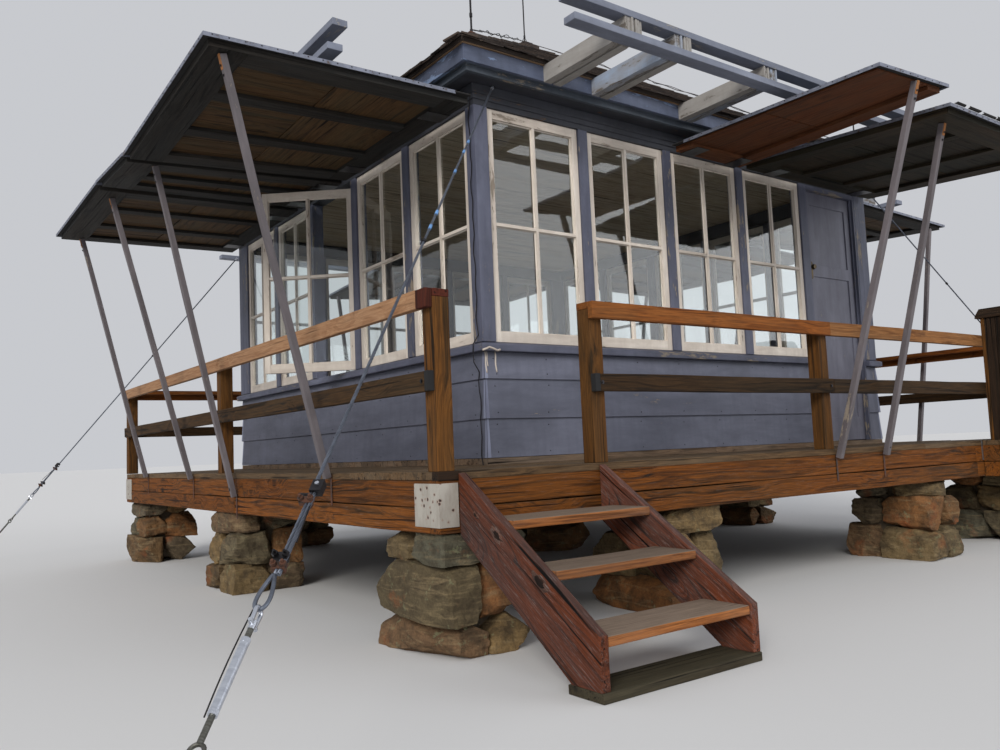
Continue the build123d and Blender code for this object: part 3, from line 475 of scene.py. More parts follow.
def loft(heap, rings, grain_rings, tone=None):
    """Joins rings of equal length into a skin with capped ends."""
    size = len(rings[0])
    faces = []
    for row in range(len(rings) - 1):
        for k in range(size):
            a = row * size + k
            b = row * size + (k + 1) % size
            faces.append((a, b, b + size, a + size))
    faces.append(tuple(reversed(range(size))))
    last = (len(rings) - 1) * size
    faces.append(tuple(range(last, last + size)))
    heap.add([p for ring in rings for p in ring], faces, [g for ring in grain_rings for g in ring], tone)


def bar(heap, start, end, width, depth, across, warp=0.0015, step=0.3, tone=None, matrix=Matrix()):
    """A timber from start to end, width measured along across, that wanders a little like real wood."""
    start = Vector(start)
    along = Vector(end) - start
    length = along.length
    along.normalize()
    across = Vector(across)
    u = (across - along * across.dot(along)).normalized()
    v = along.cross(u)
    w = width / 2
    d = depth / 2
    outline = ((-w, -d), (w, -d), (w, d), (-w, d))
    count = max(1, round(length / step))
    seed = scattered(0, 90)
    rings = []
    grains = []
    for i in range(count + 1):
        s = length * i / count
        sway = noise.noise_vector(seed + Vector((s * 0.9, 0, 0))) * warp
        ring = []
        for k, (x, y) in enumerate(outline):
            nick = noise.noise_vector(seed + Vector((s * 3, k * 7.3, 4))) * warp * 0.7
            ring.append(matrix @ (start + along * s + u * (x + sway.x + nick.x) + v * (y + sway.y + nick.y)))
        rings.append(ring)
        grains.append([(s, x, y) for x, y in outline])
    loft(heap, rings, grains, tone)


def beam(heap, low, high, warp=0.0015, step=0.3, tone=None, matrix=Matrix()):
    """A timber that fills a box, with its grain along the longest side."""
    size = [high[i] - low[i] for i in range(3)]
    axis = size.index(max(size))
    first, second = [i for i in range(3) if i != axis]
    start = Vector([(low[i] + high[i]) / 2 for i in range(3)])
    end = start.copy()
    start[axis] = low[axis]
    end[axis] = high[axis]
    unit = Vector((0, 0, 0))
    unit[first] = 1
    bar(heap, start, end, size[first], size[second], unit, warp, step, tone, matrix)


def side_beam(heap, side, along, outward, heights, warp=0.003, step=0.3, tone=None):
    """A timber on one side of the cab: two places along it, two distances out from its wall, two heights."""
    low = (along[0], out(outward[0]), heights[0])
    high = (along[1], out(outward[1]), heights[1])
    beam(heap, low, high, warp, step, tone, side_matrix(side))


def crosswise(along):
    """Two directions square to a line and to each other."""
    u = along.orthogonal().normalized()
    return u, along.cross(u)


def circle(middle, u, v, radius, sides, count=None):
    """Points round a circle, count of them when it goes on past the first one."""
    angles = [2 * math.pi * k / sides for k in range(count or sides)]
    return [middle + (u * math.cos(angle) + v * math.sin(angle)) * radius for angle in angles]


def flat_circle(distance, radius, sides):
    """The grain places round a circle."""
    angles = [2 * math.pi * k / sides for k in range(sides)]
    return [(distance, math.cos(angle) * radius, math.sin(angle) * radius) for angle in angles]


def rod(heap, start, end, radius, sides=8, tone=None, steps=1, taper=1.0):
    """A straight round bar, whose end may be thinner."""
    start = Vector(start)
    end = Vector(end)
    u, v = crosswise((end - start).normalized())
    rings = []
    grains = []
    for i in range(steps + 1):
        share = i / steps
        here = radius * (1 + (taper - 1) * share)
        rings.append(circle(start.lerp(end, share), u, v, here, sides))
        grains.append(flat_circle(share, here, sides))
    loft(heap, rings, grains, tone)


def tube(heap, path, radius, sides=8, tone=None):
    """A round bar that follows a list of points."""
    rings = []
    grains = []
    u = None
    travelled = 0
    for i, point in enumerate(path):
        before = path[max(0, i - 1)]
        along = (path[min(len(path) - 1, i + 1)] - before).normalized()
        if u is None:
            u = along.orthogonal().normalized()
        u = (u - along * u.dot(along)).normalized()
        travelled += (point - before).length
        rings.append(circle(point, u, along.cross(u), radius, sides))
        grains.append(flat_circle(travelled, radius, sides))
    loft(heap, rings, grains, tone)


def nut(heap, place, normal, radius=0.011, high=0.007):
    """A hexagon bolt head on a thin washer."""
    under = place + normal * 0.002
    rod(heap, place, under, radius * 1.55, 12, tone=0.3)
    rod(heap, under, place + normal * (0.002 + high), radius, 6, tone=0.6)


def islands(node, merge_flat=False):
    """The separate solids of a CAD node one after the other, as lists of vertices in a fixed order."""
    mesh = bmesh.new()
    mesh.from_mesh(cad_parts[node].data)
    bmesh.ops.remove_doubles(mesh, verts=mesh.verts, dist=1e-5)
    if merge_flat:
        bmesh.ops.dissolve_limit(mesh, angle_limit=0.01, verts=mesh.verts, edges=mesh.edges)
    left = set(mesh.verts)
    order = {v: i for i, v in enumerate(mesh.verts)}
    for start in sorted(mesh.verts, key=lambda v: tuple(round(c, 4) for c in v.co)):
        if start not in left:
            continue
        left.remove(start)
        group = [start]
        for vert in group:
            for other in sorted((edge.other_vert(vert) for edge in vert.link_edges), key=order.get):
                if other in left:
                    left.remove(other)
                    group.append(other)
        yield group
    mesh.free()


def solids(node):
    """The (low, high) boxes of a CAD node's separate solids, in a fixed order."""
    boxes = []
    for group in islands(node):
        low = tuple(min(v.co[i] for v in group) for i in range(3))
        high = tuple(max(v.co[i] for v in group) for i in range(3))
        boxes.append((low, high))
    return sorted(boxes)


def worn_copy(name, nodes, finish, slot, bevel=0.002, body="cab", along=None):
    """The CAD nodes' own shapes with worn edges; the grain runs along, or along each solid's longest side."""
    heap = Heap(name, finish, slot, nodes, body, bevel)
    for node in nodes:
        for group in islands(node, merge_flat=True):
            index = {v: i for i, v in enumerate(group)}
            faces = sorted([index[v] for v in f.verts] for f in {f for v in group for f in v.link_faces})
            if along:
                run = Vector(along).normalized()
                level, through = crosswise(run)
                grain = [(v.co.dot(run), v.co.dot(level), v.co.dot(through)) for v in group]
            else:
                size = [max(v.co[i] for v in group) - min(v.co[i] for v in group) for i in range(3)]
                axes = sorted(range(3), key=lambda i: -size[i])
                grain = [[v.co[i] for i in axes] for v in group]
            heap.add([v.co.copy() for v in group], faces, grain)


def keep(node, finish):
    """A CAD node that stays as it is and takes a finish."""
    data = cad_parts[node].data
    if not data.materials:
        data.materials.append(finish)
    for slot in range(len(data.materials)):
        data.materials[slot] = finish


# Stone piers
STONE_CUTS = 9
CHIPS = 13
JOINT = 0.003
CORE_RISE = 0.04
CORE_SHARE = 0.62
COURSES_HIGH = ((0.235, 0.205, 0.125), (0.175, 0.25, 0.14), (0.225, 0.15, 0.19))


def stone(heap, corners, tone):
    """A broken field stone that fills eight corners: chipped edges, split faces and a rough skin."""
    block = bmesh.new()
    bmesh.ops.create_cube(block, size=2)
    bmesh.ops.subdivide_edges(block, edges=block.edges, cuts=STONE_CUTS, use_grid_fill=True)
    chips = [scattered(-1, 1).normalized() for _ in range(CHIPS)]
    limits = [dice.uniform(0.98, 1.38) for _ in chips]
    seed = scattered(0, 60)
    middle = sum(corners, Vector()) / 8
    points = []
    for vert in block.verts:
        p = vert.co.copy()
        rounded = (abs(p.x) ** 9 + abs(p.y) ** 9 + abs(p.z) ** 9) ** (1 / 9)
        p = p.lerp(p / rounded, 0.35)
        for chip, limit in zip(chips, limits):
            over = p.dot(chip) - limit
            if over > 0:
                p -= chip * over
        place = Vector()
        for number, corner in enumerate(corners):
            weight = 1
            for axis in range(3):
                weight *= (1 + p[axis]) / 2 if number >> axis & 1 else (1 - p[axis]) / 2
            place += corner * weight
        outward = (place - middle).normalized()
        ledge = noise.voronoi(seed + place * 11)[0]
        rough = noise.fractal(seed + place * 26, 1.0, 2.0, 4)
        bed = abs((place.z * 24 + noise.noise(seed + place * 3) * 2.5) % 1 - 0.5)
        place += outward * ((ledge[0] - 0.35) * 0.016 + rough * 0.0075 + bed * 0.012 - JOINT)
        points.append(place)
    heap.add(points, [[v.index for v in f.verts] for f in block.faces], points, tone)
    block.free()


def splits(count):
    """Where the joints of one course fall, from -0.5 to 0.5."""
    inner = [(number + dice.uniform(-0.22, 0.22)) / count - 0.5 for number in range(1, count)]
    return [-0.5] + inner + [0.5]


def stone_corners(middle, wide, deep, top, xs, ys, levels, slopes):
    """The corners of one stone of a pier that narrows upwards; its outer faces stand in or out a little."""
    jut = dice.uniform(0.97, 1.12)
    corners = []
    for corner in range(8):
        x = xs[corner & 1]
        y = ys[corner >> 1 & 1]
        level = levels[corner >> 2 & 1]
        slope = slopes[corner >> 2 & 1]
        shrink = 0.97 - 0.14 * level / top
        px = x * wide * shrink * (jut if abs(x) == 0.5 else 1)
        py = y * deep * shrink * (jut if abs(y) == 0.5 else 1)
        if abs(x) == 0.5:
            px += dice.uniform(-0.014, 0.014)
        if abs(y) == 0.5:
            py += dice.uniform(-0.014, 0.014)
        corners.append(middle + Vector((px, py, level + slope[0] * px + slope[1] * py)))
    return corners


def pier(heap, core, low, high):
    """Tight courses of split stones, each course a little inside the one below."""
    middle = Vector(((low[0] + high[0]) / 2, (low[1] + high[1]) / 2, 0))
    wide = high[0] - low[0]
    deep = high[1] - low[1]
    courses = dice.choice(COURSES_HIGH)
    bottom = 0.0
    tilts = (0.0, 0.0)
    for number, rise in enumerate(courses):
        head = bottom + rise
        last = number == len(courses) - 1
        next_tilts = (0.0, 0.0) if last else (dice.uniform(-0.07, 0.07), dice.uniform(-0.07, 0.07))
        xs = splits(2 if number % 2 else dice.choice((1, 2)))
        ys = splits(2 if len(xs) == 2 else dice.choice((1, 2)))
        for x_pair in zip(xs, xs[1:]):
            for y_pair in zip(ys, ys[1:]):
                corners = stone_corners(middle, wide, deep, high[2], x_pair, y_pair, (bottom, head),
                                        (tilts, next_tilts))
                stone(heap, corners, dice.random())
        bottom = head
        tilts = next_tilts
    start = middle + Vector((0, 0, CORE_RISE))
    end = middle + Vector((0, 0, high[2] - CORE_RISE))
    bar(core, start, end, wide * CORE_SHARE, deep * CORE_SHARE, (1, 0, 0), warp=0.0)


stones = Heap("pier_stones", field_stone, "field_stone", ["rock_piers"])
mortar = Heap("pier_mortar", mortar_fill, "field_stone")
for low, high in solids("rock_piers"):
    pier(stones, mortar, low, high)
for p in stones.points:
    p.z = min(max(p.z, 0.0), RIM_LOW[2])

# Rim timbers, in two layers with a seam between them
SEAM = 0.680
SEAM_HALF = 0.002
RIM_THICK = 0.090
UPPER_SET = 0.004
SIDE_RIM_JOINT = 0.302
LAYERS = ((RIM_LOW[2], SEAM - SEAM_HALF, 0.0), (SEAM + SEAM_HALF, RIM_HIGH[2], UPPER_SET))
RIM_LONG = RIM_HIGH[0]
SIDE_FRONT = DECK_LOW[1] + RIM_THICK
SIDE_BACK = DECK_HIGH[1] - RIM_THICK
rims = Heap("rim_timbers", rim_wood, "heavy_timber", ["rim_front_back", "rim_sides"], bevel=0.006)
for side, distance, start, joint, end in (
    ("front", WALK, -RIM_LONG, HALF - 0.235, RIM_LONG),
    ("back", WALK_BACK, -RIM_LONG, 0.4, RIM_LONG),
    ("left", WALK, -SIDE_BACK, SIDE_RIM_JOINT, -SIDE_FRONT),
    ("right", WALK, SIDE_FRONT, SIDE_RIM_JOINT, SIDE_BACK),
):
    for *heights, inset in LAYERS:
        for piece in ((start, joint - SEAM_HALF), (joint + SEAM_HALF, end)):
            side_beam(rims, side, piece, (distance - inset, distance - RIM_THICK), heights, 0.004, 0.22)

# Deck and floor boards
BOARD_WIDE = 0.146
BOARD_GAP = 0.005
BOARD_END_GAP = 0.0015
ONE_LENGTH = 2.5


def boards(heap, low, high, axis, wide=BOARD_WIDE, gap=BOARD_GAP, warp=0.0016):
    """Fills a slab with boards that run along axis, the long ones in two lengths."""
    across = 1 - axis
    span = high[across] - low[across]
    count = max(1, round(span / (wide + gap)))
    pitch = span / count
    for number in range(count):
        near = low[across] + number * pitch
        cuts = [low[axis], high[axis]]
        if high[axis] - low[axis] > ONE_LENGTH:
            cuts.insert(1, low[axis] + (high[axis] - low[axis]) * dice.uniform(0.3, 0.7))
        for begin, finish in zip(cuts, cuts[1:]):
            a = [0, 0, low[2]]
            b = [0, 0, high[2] - dice.uniform(0, 0.003)]
            a[axis] = begin + BOARD_END_GAP
            b[axis] = finish - BOARD_END_GAP
            a[across] = near + gap / 2
            b[across] = near + pitch - gap / 2
            beam(heap, a, b, warp, 0.4)


deck = Heap("deck_boards", deck_wood, "deck_board", ["deck_front_back", "deck_sides"], bevel=0.003)
for node, axis in (("deck_front_back", 0), ("deck_sides", 1)):
    for low, high in solids(node):
        boards(deck, low, high, axis)
# A dark timber end at the near deck corner, under the post: painted shade on the rim's end.
corner_shade_end = Heap("corner_end_timber", shaded_box_wood, "deck_board", bevel=0.004)
CORNER_END_LONG = 0.125
CORNER_END_DEEP = 0.055
beam(corner_shade_end, (DECK_LOW[0] - 0.0015, DECK_LOW[1] - 0.0015, RIM_HIGH[2] - 0.004),
     (DECK_LOW[0] + CORNER_END_LONG, DECK_LOW[1] + CORNER_END_DEEP, DECK + 0.001), 0.001, 0.1)

FLOOR_BOARD_WIDE = 0.1
FLOOR_EDGE = 0.1
X0, Y0, Z0 = FLOOR_LOW
X1, Y1, _ = FLOOR_HIGH
floor = Heap("cab_floor_boards", floor_wood, "deck_board", ["cab_floor"], bevel=0.002)
boards(floor, (X0, Y0, DECK), FLOOR_HIGH, 0, FLOOR_BOARD_WIDE, 0.003, 0.0008)
for low, high in (
    ((X0, Y0), (X1, Y0 + FLOOR_EDGE)),
    ((X0, Y1 - FLOOR_EDGE), (X1, Y1)),
    ((X0, Y0 + FLOOR_EDGE), (X0 + FLOOR_EDGE, Y1 - FLOOR_EDGE)),
    ((X1 - FLOOR_EDGE, Y0 + FLOOR_EDGE), (X1, Y1 - FLOOR_EDGE)),
):
    beam(floor, (*low, Z0), (*high, DECK), 0.001)

worn_copy("floor_joist_timbers", ["floor_joists"], joist_wood, "heavy_timber", 0.003)
keep("corner_plates", plate_paint)

# Stairs. Each knot is its Y and Z on the outer face, its half length and its half width.
STRINGER_RUN = Vector((0, -1, -0.66)).normalized()
KNOTS = ((-3.323, 0.573, 0.062, 0.030), (-3.604, 0.404, 0.074, 0.036), (-3.170, 0.651, 0.026, 0.013))
KNOT_SIDES = 14
STRINGER_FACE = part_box("stair_stringers")[0][0]
worn_copy("stringer_planks", ["stair_stringers"], stringer_wood, "stair_timber", 0.005, along=STRINGER_RUN)


def knot(heap, y, z, long, wide, profile):
    """A knot on the outer face, whose profile is shares of its radius and how far each stands out."""
    level = Vector((1, 0, 0)).cross(STRINGER_RUN)
    seed = dice.uniform(0, 50)
    rings = []
    grains = []
    for share, proud in profile:
        middle = Vector((STRINGER_FACE - proud, y, z))
        ring = []
        for side in range(KNOT_SIDES):
            turn = 2 * math.pi * side / KNOT_SIDES
            a = math.cos(turn)
            b = math.sin(turn)
            ragged = share * (1 + 0.5 * noise.noise(Vector((a * 1.8, b * 1.8, seed))))
            ring.append((long * ragged * a, wide * ragged * b, proud))
        rings.append([middle + STRINGER_RUN * a + level * b for a, b, _ in ring])
        grains.append(ring)
    loft(heap, rings, grains)


knot_rims = Heap("stringer_knots", knot_wood, "stair_timber", bevel=0.0006)
knot_hearts = Heap("stringer_knot_hearts", knot_heart, "stair_timber", bevel=0.0006)
for y, z, long, wide in KNOTS:
    knot(knot_rims, y, z, long, wide, ((1.0, -0.002), (0.8, 0.0012), (0.5, 0.0036)))
    knot(knot_hearts, y, z, long * 0.8, wide, ((0.56, 0.001), (0.46, 0.0050), (0.2, 0.0040)))


def timbers(name, node, finish, slot, warp, step, bevel, shorter=0.0):
    """One wandering timber for each solid of a CAD node."""
    heap = Heap(name, finish, slot, [node], bevel=bevel)
    for low, high in solids(node):
        beam(heap, (low[0] + shorter, *low[1:]), (high[0] - shorter, *high[1:]), warp, step)
    for p in heap.points:
        p.z = max(p.z, 0.0)


timbers("tread_planks", "stair_treads", tread_wood, "tread_board", 0.004, 0.12, 0.006, shorter=0.001)
timbers("foot_plank", "stair_foot_plate", foot_wood, "stair_timber", 0.003, 0.12, 0.004)
timbers("post_timbers", "railing_posts", post_wood, "rail_timber", 0.003, 0.16, 0.004)

# Boxed post in front of the railing: boards nailed up round it, a hipped cap, and the block that it stands on
CAPPED_LOW, CAPPED_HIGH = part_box("capped_post")
CAP_RISE = 0.075
CAP_EDGE = 0.022
CAP_SIDE = 0.020
CAP_END = 0.035
CAP_SLOPE = 0.034
BOX_BOARD = 0.020
CORNER_BOARD = 0.027
BOX_X0 = CAPPED_LOW[0] + CAP_SIDE
BOX_X1 = CAPPED_HIGH[0] - CAP_SIDE
BOX_Y0 = CAPPED_LOW[1] + CAP_END
BOX_Y1 = CAPPED_HIGH[1] - CAP_END
BOX_Z0 = CAPPED_LOW[2]
BOX_Z1 = CAPPED_HIGH[2] - CAP_RISE
CORNER_Y = BOX_Y1 - CORNER_BOARD
# The box boards take the dark wood, which is partly painted shade; the lighter corner boards take the post's
# wood.
boxed = Heap("boxed_post", shaded_box_wood, "rail_timber", ["capped_post"], bevel=0.003)
corner_boards = Heap("boxed_post_corners", post_wood, "rail_timber", bevel=0.002)
beam(boxed, (BOX_X0 + BOX_BOARD, BOX_Y0 + BOX_BOARD, BOX_Z0),
     (BOX_X1 - BOX_BOARD, BOX_Y1 - BOX_BOARD, BOX_Z1))
for x0, x1 in ((BOX_X0, BOX_X0 + BOX_BOARD), (BOX_X1 - BOX_BOARD, BOX_X1)):
    middle = (BOX_Y0 + CORNER_Y) / 2
    beam(boxed, (x0, BOX_Y0, BOX_Z0), (x1, middle - 0.0015, BOX_Z1), 0.002, 0.2)
    beam(boxed, (x0, middle + 0.0015, BOX_Z0), (x1, CORNER_Y - 0.0015, BOX_Z1), 0.002, 0.2)
    beam(corner_boards, (x0 - 0.001, CORNER_Y, BOX_Z0), (x1, BOX_Y1 + 0.001, BOX_Z1), 0.002, 0.2)
third = (BOX_X1 - BOX_X0 - 2 * BOX_BOARD) / 3
for y0, y1 in ((BOX_Y0 - 0.001, BOX_Y0 + BOX_BOARD - 0.001), (BOX_Y1 - BOX_BOARD, BOX_Y1)):
    for number in range(3):
        x0 = BOX_X0 + BOX_BOARD + number * third
        beam(boxed, (x0 + 0.001, y0, BOX_Z0), (x0 + third - 0.001, y1, BOX_Z1), 0.002, 0.2)
rings = []
for level, inset, side_in in ((0.0, 0.0, 0.0), (CAP_EDGE, 0.004, 0.001), (CAP_RISE, CAP_SLOPE, 0.008)):
    x0 = CAPPED_LOW[0] + side_in
    x1 = CAPPED_HIGH[0] - side_in
    y0 = CAPPED_LOW[1] + inset
    y1 = CAPPED_HIGH[1] - inset
    rings.append([Vector((x, y, BOX_Z1 + level)) for x, y in ((x0, y0), (x1, y0), (x1, y1), (x0, y1))])
loft(boxed, rings, [[(p.y, p.x, p.z) for p in ring] for ring in rings])

BLOCK_LOW, BLOCK_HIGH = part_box("post_block")
BLOCK_MIDDLE = (BLOCK_LOW[1] + BLOCK_HIGH[1]) / 2
block_timbers = Heap("post_block_timbers", rim_wood, "heavy_timber", ["post_block"], bevel=0.005)
for z0, z1 in ((BLOCK_LOW[2], SEAM - SEAM_HALF), (SEAM + SEAM_HALF, RIM_HIGH[2])):
    for y0, y1 in ((BLOCK_LOW[1], BLOCK_MIDDLE - 0.001), (BLOCK_MIDDLE + 0.001, BLOCK_HIGH[1])):
        beam(block_timbers, (BLOCK_LOW[0], y0, z0), (BLOCK_HIGH[0], y1, z1), 0.003, 0.1)
block_boards = Heap("post_block_boards", deck_wood, "deck_board", bevel=0.003)
boards(block_boards, (*BLOCK_LOW[:2], RIM_HIGH[2]), BLOCK_HIGH, 0)
STRIP_WIDE = 0.014
STRIP_THICK = 0.004
STRIP_LOW = 0.690
STRIP_RIGHT = BLOCK_LOW[0] - 0.002
strip = Heap("rim_end_strip", zinc_steel, "zinc_steel")
beam(strip, (STRIP_RIGHT - STRIP_WIDE, DECK_LOW[1] - STRIP_THICK, STRIP_LOW),
     (STRIP_RIGHT, DECK_LOW[1], DECK), 0.0005)

# Railings
RAIL_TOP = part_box("railing_left")[1][2]
RAIL_THICK = 0.038
RAIL_FACE = 0.090
POST = 0.090
POST_HALF = POST / 2
MID_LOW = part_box("railing_left")[0][2]
MID_HIGH = MID_LOW + 0.092
STAIR_POST_X = -HALF + 0.035
FRONT_JOINT = -HALF + 2.130
FRONT_EDGE = DECK_LOW[1]
BACK_EDGE = DECK_HIGH[1]
DECK_LEFT = DECK_LOW[0]
DECK_RIGHT = DECK_HIGH[0]
BLACK_END = 0.034
bolts = Heap("bolt_heads", dark_iron, "dark_iron")


def top_rail(heap, side, start, end, distance):
    """A board on edge outside the posts and one laid flat over them."""
    edge_heights = (RAIL_TOP - RAIL_FACE, RAIL_TOP - 0.001)
    flat_heights = (RAIL_TOP - RAIL_THICK, RAIL_TOP)
    side_beam(heap, side, (start, end), (distance + RAIL_THICK, distance), edge_heights)
    side_beam(heap, side, (start, end), (distance - 0.001, distance - POST), flat_heights)


def mid_rail(heap, side, start, end, distance):
    side_beam(heap, side, (start, end), (distance + RAIL_THICK, distance), (MID_LOW, MID_HIGH), 0.004, 0.25)


orange_rails = Heap("cap_rails", orange_rail_wood, "rail_timber", ["railing_front_back", "railing_right"],
                    bevel=0.003)
tan_rails = Heap("door_side_cap_rail", tan_rail_wood, "rail_timber", bevel=0.003)
brown_rails = Heap("middle_rails", mid_rail_wood, "rail_timber", bevel=0.004)
pale_rails = Heap("new_cap_rail", new_rail_wood, "rail_timber", ["railing_left"], bevel=0.003)
end_blocks = Heap("rail_end_block", end_block_wood, "rail_timber", bevel=0.004)
black_ends = Heap("mid_rail_black_ends", black_paint, "rail_timber", bevel=0.003)
top_rail(orange_rails, "front", STAIR_POST_X, FRONT_JOINT - 0.001, WALK)
mid_rail(brown_rails, "front", STAIR_POST_X + BLACK_END, FRONT_JOINT - 0.001, WALK)
top_rail(tan_rails, "front", FRONT_JOINT + 0.001, DECK_RIGHT, WALK)
mid_rail(brown_rails, "front", FRONT_JOINT + 0.001, DECK_RIGHT, WALK)
top_rail(orange_rails, "right", FRONT_EDGE + POST, BACK_EDGE - POST, WALK)
mid_rail(brown_rails, "right", FRONT_EDGE + POST, BACK_EDGE - POST, WALK)
top_rail(orange_rails, "back", DECK_LEFT, DECK_RIGHT, WALK_BACK)
mid_rail(brown_rails, "back", DECK_LEFT, DECK_RIGHT, WALK_BACK)
top_rail(pale_rails, "left", -BACK_EDGE + POST, -FRONT_EDGE - POST, WALK)
top_rail(end_blocks, "left", -FRONT_EDGE - POST + 0.001, -FRONT_EDGE, WALK)
mid_rail(brown_rails, "left", -BACK_EDGE + POST, -FRONT_EDGE - BLACK_END, WALK)
mid_rail(black_ends, "left", -FRONT_EDGE - BLACK_END + 0.0005, -FRONT_EDGE - 0.004, WALK)
mid_rail(black_ends, "front", STAIR_POST_X, STAIR_POST_X + BLACK_END - 0.0005, WALK)
for side, centres, distance in (
    ("front", (STAIR_POST_X + POST_HALF, -HALF + 2.085, DECK_RIGHT - POST_HALF), WALK),
    ("left", (-FRONT_EDGE - POST_HALF, 0.0, -BACK_EDGE + POST + POST_HALF), WALK),
    ("right", (FRONT_EDGE + POST + POST_HALF, 0.0, BACK_EDGE - POST - POST_HALF), WALK),
    ("back", (DECK_LEFT + POST_HALF, 0.0, DECK_RIGHT - POST_HALF), WALK_BACK),
):
    turn = side_matrix(side)
    for centre in centres:
        x = centre + dice.uniform(-0.012, 0.012)
        place = Vector((x, out(distance + RAIL_THICK), (MID_LOW + MID_HIGH) / 2))
        nut(bolts, turn @ place, turn @ Vector((0, -1, 0)), 0.007, 0.004)

# Walls under the windows, sills, heads, posts, door and ceiling
for node in ("front_wall", "front_wall_by_door", "right_wall", "back_wall", "left_wall"):
    worn_copy(node + "_siding", [node], siding_paint, "lap_siding", 0.0015)
worn_copy("sill_boards", ["sills_front_back", "sills_sides"], trim_paint, "grey_trim", 0.006)
worn_copy("head_mouldings", ["heads_front_back", "heads_sides"], dark_trim, "grey_trim")
worn_copy("corner_post_trim", ["corner_posts"], trim_paint, "grey_trim", 0.003)
worn_copy("window_post_trim", ["window_posts"], trim_paint, "grey_trim")
worn_copy("door_frame", ["door_jambs", "door_head"], trim_paint, "grey_trim")
worn_copy("door_panels", ["door_leaf"], door_paint, "lap_siding", body="door")
keep("door_latch", cad_brass)
keep("door_hinges", cad_iron)
keep("window_glass", pane_glass)
worn_copy("ceiling_boards", ["ceiling"], ceiling_wood, "grey_trim", 0.001)

# Window sashes. One in the front wall stands open at its foot.
SASH_IN = 0.015
SASH_DEPTH = 0.036
STILE = 0.046
TOP_RAIL = 0.060
BOTTOM_RAIL = 0.066
MUNTIN_HALF = 0.010
MUNTIN_DEPTH = 0.020
PUTTY = 0.007
SASH_MIDDLE = FLOOR + 1.440
OPEN_LEFT = -0.2985
OPEN_RIGHT = 0.4205
OPEN_ANGLE = math.radians(50)
OPEN_TOP = FLOOR + 2.116


def putty(heap, matrix, x0, x1, z0, z1, glass):
    """A wedge of putty along each edge of one pane."""
    corners = [(x0, z0), (x1, z0), (x1, z1), (x0, z1)]
    for a, b in zip(corners, corners[1:] + corners[:1]):
        inward = Vector((a[1] - b[1], 0, b[0] - a[0])).normalized()
        points = []
        for x, z in (a, b):
            base = Vector((x, glass, z))
            for step in (Vector(), inward * PUTTY, Vector((0, -PUTTY, 0))):
                points.append(matrix @ (base + step))
        faces = [(0, 1, 4, 3), (1, 2, 5, 4), (2, 0, 3, 5), (0, 2, 1), (3, 4, 5)]
        heap.add(points, faces, [(p.z, p.x, p.y) for p in points], 0.6)


def sash(heap, matrix, left, right, low, high):
    """One sash drawn in the front wall's plane: stiles, rails, muntins and putty round each pane."""
    face = out(-SASH_IN)
    back = face + SASH_DEPTH
    glass = face + MUNTIN_DEPTH
    x0 = left + STILE
    x1 = right - STILE
    x_middle = (left + right) / 2
    z0 = low + BOTTOM_RAIL
    z1 = high - TOP_RAIL
    for start, end, warp in (
        ((left, face, low), (x0, back, high), 0.0008),
        ((x1, face, low), (right, back, high), 0.0008),
        ((x0, face + 0.0005, low), (x1, back, z0), 0.0006),
        ((x0, face + 0.0005, z1), (x1, back, high), 0.0006),
        ((x_middle - MUNTIN_HALF, face + 0.002, z0), (x_middle + MUNTIN_HALF, glass, z1), 0.0006),
        ((x0, face + 0.0025, SASH_MIDDLE - MUNTIN_HALF), (x1, glass, SASH_MIDDLE + MUNTIN_HALF), 0.0006),
    ):
        beam(heap, start, end, warp, 0.4, matrix=matrix)
    for xs in ((x0, x_middle - MUNTIN_HALF), (x_middle + MUNTIN_HALF, x1)):
        for zs in ((z0, SASH_MIDDLE - MUNTIN_HALF), (SASH_MIDDLE + MUNTIN_HALF, z1)):
            putty(heap, matrix, *xs, *zs, glass)


for side in ("front", "left", "back", "right"):
    node = side + "_sashes"
    turn = side_matrix(side)
    back_turn = turn.inverted()
    heap = Heap(node + "_wood", white_paint, "white_trim", [node], bevel=0.0012)
    for low, high in solids(node):
        a = back_turn @ Vector(low)
        b = back_turn @ Vector(high)
        if abs(a.y - b.y) > 2 * SASH_DEPTH:
            pivot = Matrix.Translation((OPEN_RIGHT, out(-SASH_IN), 0))
            swing = turn @ pivot @ Matrix.Rotation(OPEN_ANGLE, 4, "Z") @ pivot.inverted()
            sash(heap, swing, OPEN_LEFT, OPEN_RIGHT, low[2], OPEN_TOP)
        else:
            sash(heap, turn, min(a.x, b.x), max(a.x, b.x), low[2], high[2])

# Siding nails, corner caps and the paint runs under the near corner of the sill
SIDING_TOP = FLOOR + 0.640
COURSE_LOWS = (FLOOR, FLOOR + 0.235, FLOOR + 0.476)
LAP = 0.013
STUD_STEP = 0.406
FIRST_STUD = 0.09
DOOR_ZONE = 0.9
CAP_LEG = 0.026
CAP_PROUD = 0.0015
nails = Heap("siding_nails", dark_iron, "dark_iron")
corner_caps = Heap("siding_corner_caps", corner_cap_paint, "lap_siding")


def corner_cap(heap, turn, x0, x1, course_low, course_high):
    """A bent metal cap over the mitre at the end of one siding course, on one of its two sides."""
    low_y = out(CAP_PROUD)
    top_y = out(CAP_PROUD - LAP)
    top_x0 = x0 + LAP if x0 < 0 else x0
    top_x1 = x1 - LAP if x1 > HALF else x1
    corners = ((x0, low_y, course_low + 0.001), (x1, low_y, course_low + 0.001),
               (top_x1, top_y, course_high - 0.001), (top_x0, top_y, course_high - 0.001))
    ring = [turn @ Vector(corner) for corner in corners]
    inward = turn @ Vector((0, 0.004, 0))
    loft(heap, [ring, [p + inward for p in ring]], [[(p.z, p.x, p.y) for p in ring]] * 2)


